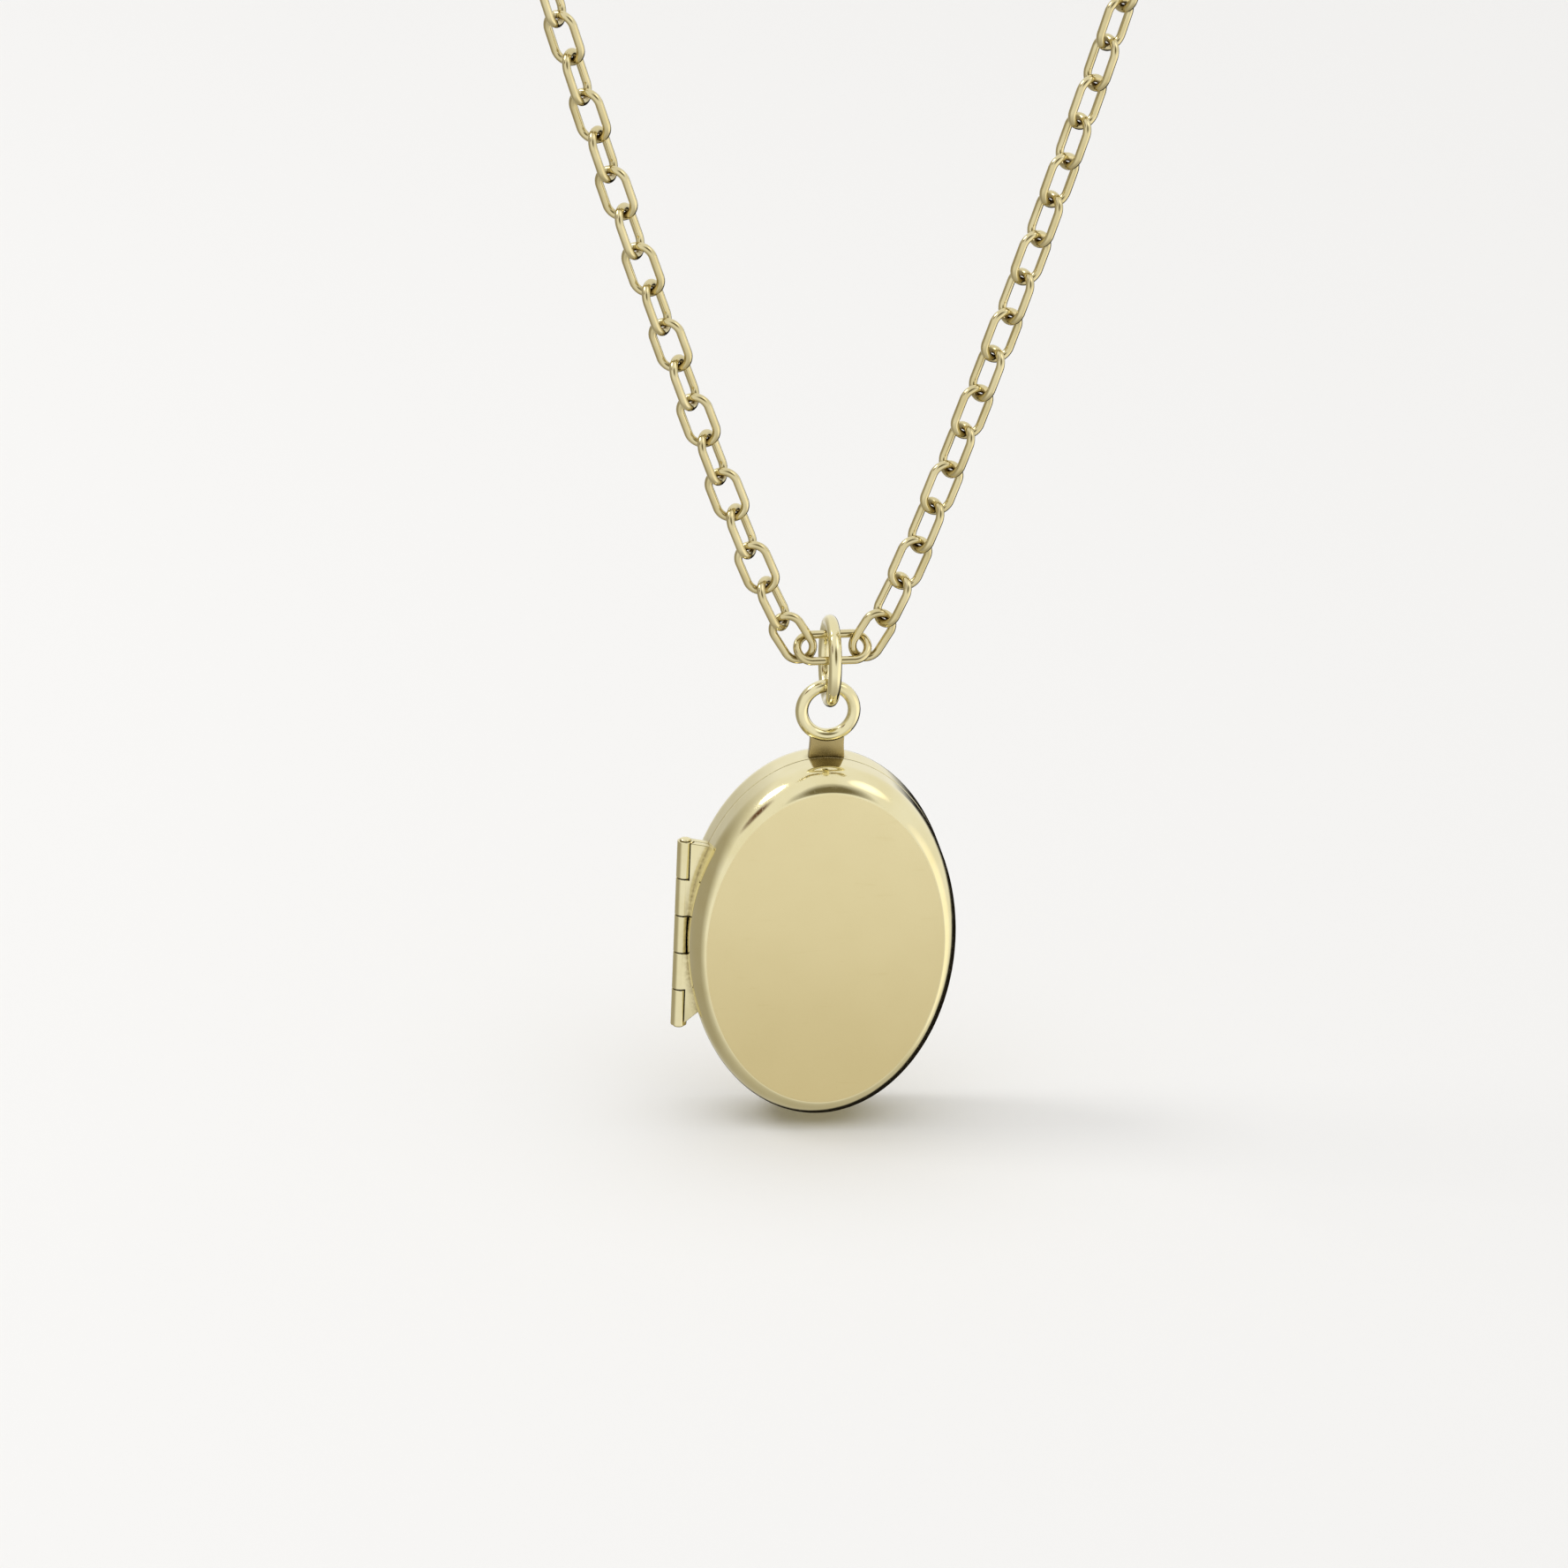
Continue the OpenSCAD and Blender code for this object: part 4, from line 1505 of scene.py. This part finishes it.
@dataclass
class ChainEnds:
    """The small end rings and the ring clasp, in millimetres and degrees round the clasp."""

    chain: Chain
    end_radius: float = 1.1
    end_wire: float = 0.5
    end_at: float = 1.855
    eye_radius: float = 0.7
    eye_wire: float = 0.44
    eye_at: float = 3.165
    clasp_at: float = 6.655
    clasp_radius: float = 2.0
    tube: float = 0.55
    tube_wall: float = 0.16
    bolt: float = 0.34
    mouth_from: float = 135
    mouth_to: float = 183
    bolt_tail: float = 102
    bolt_gap: float = 1
    knob_at: float = 118
    knob: float = 0.3
    knob_reach: float = 3.3
    slot_from: float = 59
    slot_half: float = 0.35
    spring_from: float = 18
    spring_to: float = 99
    spring_turns: int = 8
    spring_wire: float = 0.11

    def clasp_place(self) -> Matrix:
        """Gives the clasp's place at the left-hand end."""
        return self.chain.held(Side.LEFT) @ self.chain.beyond(self.clasp_at)

    def bent(self, name: str, start: float, end: float, capped: bool) -> bpy.types.Object:
        """Spins the edges of the open piece that is being edited round the clasp's ring.

        Args:
            name: Name that the piece takes.
            start: Angle of its start, from the eye.
            end: Angle of its end, from the eye.
            capped: Whether both ends are closed.

        Returns:
            The bent piece, in the clasp's own frame.
        """
        piece = bpy.context.active_object
        bpy.ops.mesh.select_all(action="SELECT")
        steps = max(8, round((end - start) / 3))
        bpy.ops.mesh.spin(steps=steps, angle=math.radians(end - start), center=(0, 0, 0), axis=(0, 1, 0))
        if capped:
            bpy.ops.mesh.select_all(action="SELECT")
            bpy.ops.mesh.fill_holes(sides=0)
        Bench.close_up(piece)
        Bench.put(piece, spun(90 - start, "Y"))
        piece.name = name
        return piece

    def round_section(self, radius: float) -> None:
        """Adds a round section on the clasp's ring and starts to edit it."""
        Bench.clear()
        middle = (self.clasp_radius * MM, 0, 0)
        bpy.ops.mesh.primitive_circle_add(vertices=32, radius=radius * MM, location=middle)
        piece = Bench.named("section")
        Bench.settle(piece)
        Bench.edit(piece)

    def slot(self) -> bpy.types.Object:
        """Makes the tool that cuts the knob's slot."""
        Bench.clear()
        bpy.ops.mesh.primitive_plane_add(size=1, location=((self.clasp_radius + self.tube) * MM, 0, 0))
        piece = Bench.named("slot")
        piece.scale = (2 * self.tube * MM, 2 * self.slot_half * MM, 1)
        Bench.settle(piece)
        Bench.edit(piece)
        bpy.ops.mesh.select_all(action="SELECT")
        bpy.ops.mesh.delete(type="ONLY_FACE")
        return self.bent("slot", self.slot_from, self.mouth_from + 1, True)

    def body(self, dresser: Dresser) -> bpy.types.Object:
        """Makes the clasp's hollow ring, closed at the far side of its mouth."""
        self.round_section(self.tube)
        body = self.bent("hollow_clasp_body", self.mouth_to, self.mouth_from + 360, False)
        closed_end = upright_way(self.mouth_to - 90) * self.clasp_radius * MM
        near = 1.05 * self.tube * MM

        def at_closed_end(edge: bmesh.types.BMEdge) -> bool:
            """Says whether an edge is round the open end that the mouth leads to."""
            return edge.is_boundary and (edge.verts[0].co - closed_end).length < near

        Bench.edit(body, "EDGE")
        Bench.pick(body, "EDGE", at_closed_end)
        bpy.ops.mesh.edge_face_add()
        Bench.close_up(body)
        wall = body.modifiers.new("wall", "SOLIDIFY")
        wall.thickness = self.tube_wall * MM
        wall.offset = -1
        bpy.ops.object.modifier_apply(modifier=wall.name)
        Bench.combine(body, self.slot(), "DIFFERENCE")
        Bench.put(body, self.clasp_place())
        Bench.polish(body, 40)
        return dresser.hand_over(body, "chain", ["clasp_body"], Finish.CHAIN)

    def sliding_bolt(self, dresser: Dresser) -> bpy.types.Object:
        """Makes the bolt and the thumb knob on it."""
        self.round_section(self.bolt)
        bolt = self.bent("sliding_bolt", self.bolt_tail, self.mouth_to - self.bolt_gap, True)
        Bench.soften(bolt, 0.1, 60, 4)
        way = upright_way(self.knob_at - 90)
        knob = Bench.rod("knob", self.knob, way * self.clasp_radius, way * self.knob_reach, 40)
        Bench.soften(knob, 0.09, 60, 4)
        Bench.combine(bolt, knob, "UNION")
        Bench.put(bolt, self.clasp_place())
        Bench.polish(bolt, 40)
        return dresser.hand_over(bolt, "clasp_bolt", ["clasp_bolt"], Finish.CHAIN)

    def spring(self, dresser: Dresser) -> bpy.types.Object:
        """Makes the bolt's spring, a coil bent along the tube."""
        coil = bpy.data.curves.new("coiled_spring", "CURVE")
        coil.dimensions = "3D"
        coil.bevel_depth = self.spring_wire / 2 * MM
        coil.bevel_resolution = 2
        coil.use_fill_caps = True
        steps = self.spring_turns * 16
        line = coil.splines.new("POLY")
        line.points.add(steps)
        reach = self.bolt - self.spring_wire / 2
        place = self.clasp_place()
        for step, point in enumerate(line.points):
            share = step / steps
            way = upright_way(self.spring_from + (self.spring_to - self.spring_from) * share - 90)
            coil_turn = 2 * math.pi * self.spring_turns * share
            spot = way * (self.clasp_radius + reach * math.cos(coil_turn))
            spot.y = reach * math.sin(coil_turn)
            point.co = (*(place @ (spot * MM)), 1)
        Bench.take(Bench.placed("coiled_spring", coil))
        bpy.ops.object.convert(target="MESH")
        piece = bpy.context.active_object
        Bench.polish(piece, 60)
        return dresser.hand_over(piece, "chain", ["clasp_spring"], Finish.SPRING)

    def hoops(self, dresser: Dresser) -> dict[str, bpy.types.Object]:
        """Makes the end rings and the clasp's eye."""
        half_turn = self.chain.turn(self.chain.links - 1) / 2
        rows = (
            ("right_end_ring", Side.RIGHT, self.end_radius, self.end_wire, self.end_at, 90 + half_turn),
            ("left_end_ring", Side.LEFT, self.end_radius, self.end_wire, self.end_at, 90 + half_turn),
            ("clasp_eye", Side.LEFT, self.eye_radius, self.eye_wire, self.eye_at, 0),
        )
        made = {}
        for node, side, radius, wire, distance, turned in rows:
            hoop = Bench.hoop("round_" + node, radius, wire, 64, 24)
            Bench.put(hoop, self.chain.held(side) @ self.chain.beyond(distance) @ spun(turned, "Z"))
            Bench.polish(hoop, 60)
            made[node] = dresser.hand_over(hoop, "chain", [node], Finish.CHAIN)
        return made


def hang_chain(dresser: Dresser) -> None:
    """Makes the whole chain and declares its two taut sides."""
    chain = Chain()
    ends = ChainEnds(chain)
    centre = chain.centre_link(dresser)
    hoops = ends.hoops(dresser)
    clasp = [hoops["left_end_ring"], hoops["clasp_eye"], ends.body(dresser), ends.sliding_bolt(dresser)]
    clasp.append(ends.spring(dresser))
    for side, far_end, riders in (
        (Side.LEFT, "connector", [centre, *clasp]),
        (Side.RIGHT, "fitting", [hoops["right_end_ring"]]),
    ):
        row = chain.build_side(side, dresser)
        route = chain.route(side)
        length = sum((b - a).length for a, b in zip(route, route[1:]))
        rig.cord(
            row,
            exit=route[0],
            length=length,
            diameter=chain.width * MM,
            far_end=far_end,
            stiffness="limp",
            lay="taut",
            path=route,
            with_pieces=riders,
        )


# ---------------------------------------------------------------- Studio


@dataclass
class Viewpoint:
    """The camera: level angles in degrees, sizes in millimetres."""

    azimuth: float = -8.0
    elevation: float = 21.0
    roll: float = 2.4
    lens: float = 250
    sensor: float = 36
    view_width: float = 75.9
    aim_right: float = -1.709
    aim_up: float = 7.107

    def build(self) -> None:
        """Makes the camera and hands it to the scene."""
        back = way_from(self.azimuth, self.elevation)
        right = way_from(self.azimuth + 90, 0)
        turn = Matrix.Rotation(math.radians(self.roll), 3, back)
        right, up = turn @ right, turn @ back.cross(right)
        data = bpy.data.cameras.new("viewpoint")
        data.lens, data.sensor_width = self.lens, self.sensor
        data.clip_start, data.clip_end = 0.01, 20
        camera = Bench.placed("viewpoint", data)
        distance = self.view_width * self.lens / self.sensor
        aim = LOCKET_MIDDLE + right * self.aim_right + up * self.aim_up
        facing = Matrix((right, up, back)).transposed().to_4x4()
        camera.matrix_world = Matrix.Translation((aim + back * distance) * MM) @ facing
        bpy.context.scene.camera = camera


@dataclass(frozen=True)
class Card:
    """A soft-edged part of the room that the metal mirrors, by its direction, in degrees."""

    name: str
    azimuth: float
    elevation: float
    core: float
    edge: float
    tone: Colour

    def lay(
        self, board: Board, where: bpy.types.NodeSocket, below: bpy.types.NodeSocket
    ) -> bpy.types.NodeSocket:
        """Lays the card over what the room already shows.

        Args:
            board: The world's board.
            where: The direction looked at.
            below: The colour under the card.

        Returns:
            The colour with the card on it.
        """
        facing = board.add("ShaderNodeVectorMath", operation="DOT_PRODUCT")
        board.wire(where, facing.inputs[0])
        facing.inputs[1].default_value = way_from(self.azimuth, self.elevation)
        low, high = (math.cos(math.radians(angle)) for angle in (self.edge, self.core))
        return board.mix(board.ramp(facing.outputs["Value"], low, high), below, self.tone)


ROOM = (
    Card("pale_left", -115, -18, 30, 62, (0.44, 0.41, 0.34)),
    Card("cream_right", 66, -15, 16, 32, (1.35, 1.30, 1.20)),
    Card("dark_right", 144, -38, 30, 38, (0.012, 0.010, 0.008)),
    Card("lens_side", 9, 32, 12, 27, (0.19, 0.165, 0.10)),
    Card("brown_corner", -66, 33, 5, 13, (0.14, 0.06, 0.03)),
    Card("soft_window", 65, 49, 6, 17, (1.9, 1.85, 1.75)),
)


@dataclass
class Studio:
    """The pale ground, the lights and the room that the metal mirrors.

    The ground's drop is in millimetres. The other sizes are in metres, powers are in Blender's
    units and angles are in degrees.
    """

    ground_drop: float = 0.5
    ground_size: float = 4.0
    glow: float = 0.19
    sun_power: float = 2.42
    sun_spread: float = 100
    sun_tilt: float = 3
    lamp_azimuth: float = -100
    lamp_elevation: float = 50
    lamp_distance: float = 0.45
    lamp_size: float = 0.15
    lamp_power: float = 0.4

    def ground(self, dresser: Dresser) -> None:
        """Lays the ground just under the hanging locket."""
        Bench.clear()
        height = CAD_BOX[0].z - self.ground_drop * MM
        bpy.ops.mesh.primitive_plane_add(size=self.ground_size, location=(0, 0, height))
        ground = Bench.named("pale_ground")
        Bench.settle(ground)
        ground.data.materials.append(dresser.ground)
        ground.visible_glossy = False
        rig.stage(ground)

    def room(self) -> None:
        """Lights the ground evenly, and gives the metal a room with cards to mirror."""
        world = bpy.data.worlds.new("room")
        world.use_nodes = True
        world.cycles.sampling_method = "NONE"
        bpy.context.scene.world = world
        board = Board(world.node_tree)
        even, mirrored_room = board.add("ShaderNodeBackground"), board.add("ShaderNodeBackground")
        even.inputs["Color"].default_value = (1, 1, 1, 1)
        even.inputs["Strength"].default_value = self.glow
        where = board.add("ShaderNodeTexCoord").outputs["Generated"]
        apart = board.add("ShaderNodeSeparateXYZ")
        board.wire(where, apart.inputs[0])
        shade = board.mix(board.ramp(apart.outputs["Z"], -1, -0.3), (0.5, 0.47, 0.4), (1, 1, 1))
        for card in ROOM:
            shade = card.lay(board, where, shade)
        board.wire(shade, mirrored_room.inputs["Color"])
        choice = board.add("ShaderNodeMixShader")
        board.wire(board.add("ShaderNodeLightPath").outputs["Is Glossy Ray"], choice.inputs[0])
        board.wire(even.outputs[0], choice.inputs[1])
        board.wire(mirrored_room.outputs[0], choice.inputs[2])
        board.wire(choice.outputs[0], board.add("ShaderNodeOutputWorld").inputs["Surface"])

    def sun(self) -> None:
        """Hangs the broad light that gives the soft pool of shadow."""
        data = bpy.data.lights.new("broad_light", "SUN")
        data.energy, data.angle = self.sun_power, math.radians(self.sun_spread)
        light = Bench.placed("broad_light", data)
        light.rotation_euler = (math.radians(self.sun_tilt), 0, 0)
        light.visible_glossy = False

    def spark(self) -> None:
        """Sets the small lamp that glints on the rim."""
        data = bpy.data.lights.new("small_lamp", "AREA")
        data.shape = "DISK"
        data.size, data.energy = self.lamp_size, self.lamp_power
        light = Bench.placed("small_lamp", data)
        way = way_from(self.lamp_azimuth, self.lamp_elevation)
        light.location = LOCKET_MIDDLE * MM + way * self.lamp_distance
        light.rotation_mode = "QUATERNION"
        light.rotation_quaternion = way.to_track_quat("Z", "Y")

    def build(self, dresser: Dresser) -> None:
        """Sets up the ground, the room and the lights."""
        self.ground(dresser)
        self.room()
        self.sun()
        self.spark()
        bpy.context.scene.view_settings.view_transform = "Standard"


def write_sizes() -> None:
    """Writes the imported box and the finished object's box as plain lists."""
    boxes = {"cad": [list(corner) for corner in CAD_BOX], "visual": [list(corner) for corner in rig.bounds()]}
    with open("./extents.json", "w") as out:
        json.dump(boxes, out)


def main() -> None:
    """Builds the locket's looks, in order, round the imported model."""
    logging.basicConfig(level=logging.INFO, format="%(name)s: %(message)s")
    Viewpoint().build()
    dresser = Dresser()
    hang_chain(dresser)
    hinge = Hinge()
    hinge.build(dresser)
    Shells(hinge).build(dresser)
    Inside().build(dresser)
    Rings().build(dresser)
    Studio().build(dresser)
    Bench.clear()
    write_sizes()


if __name__ == "__main__":
    main()
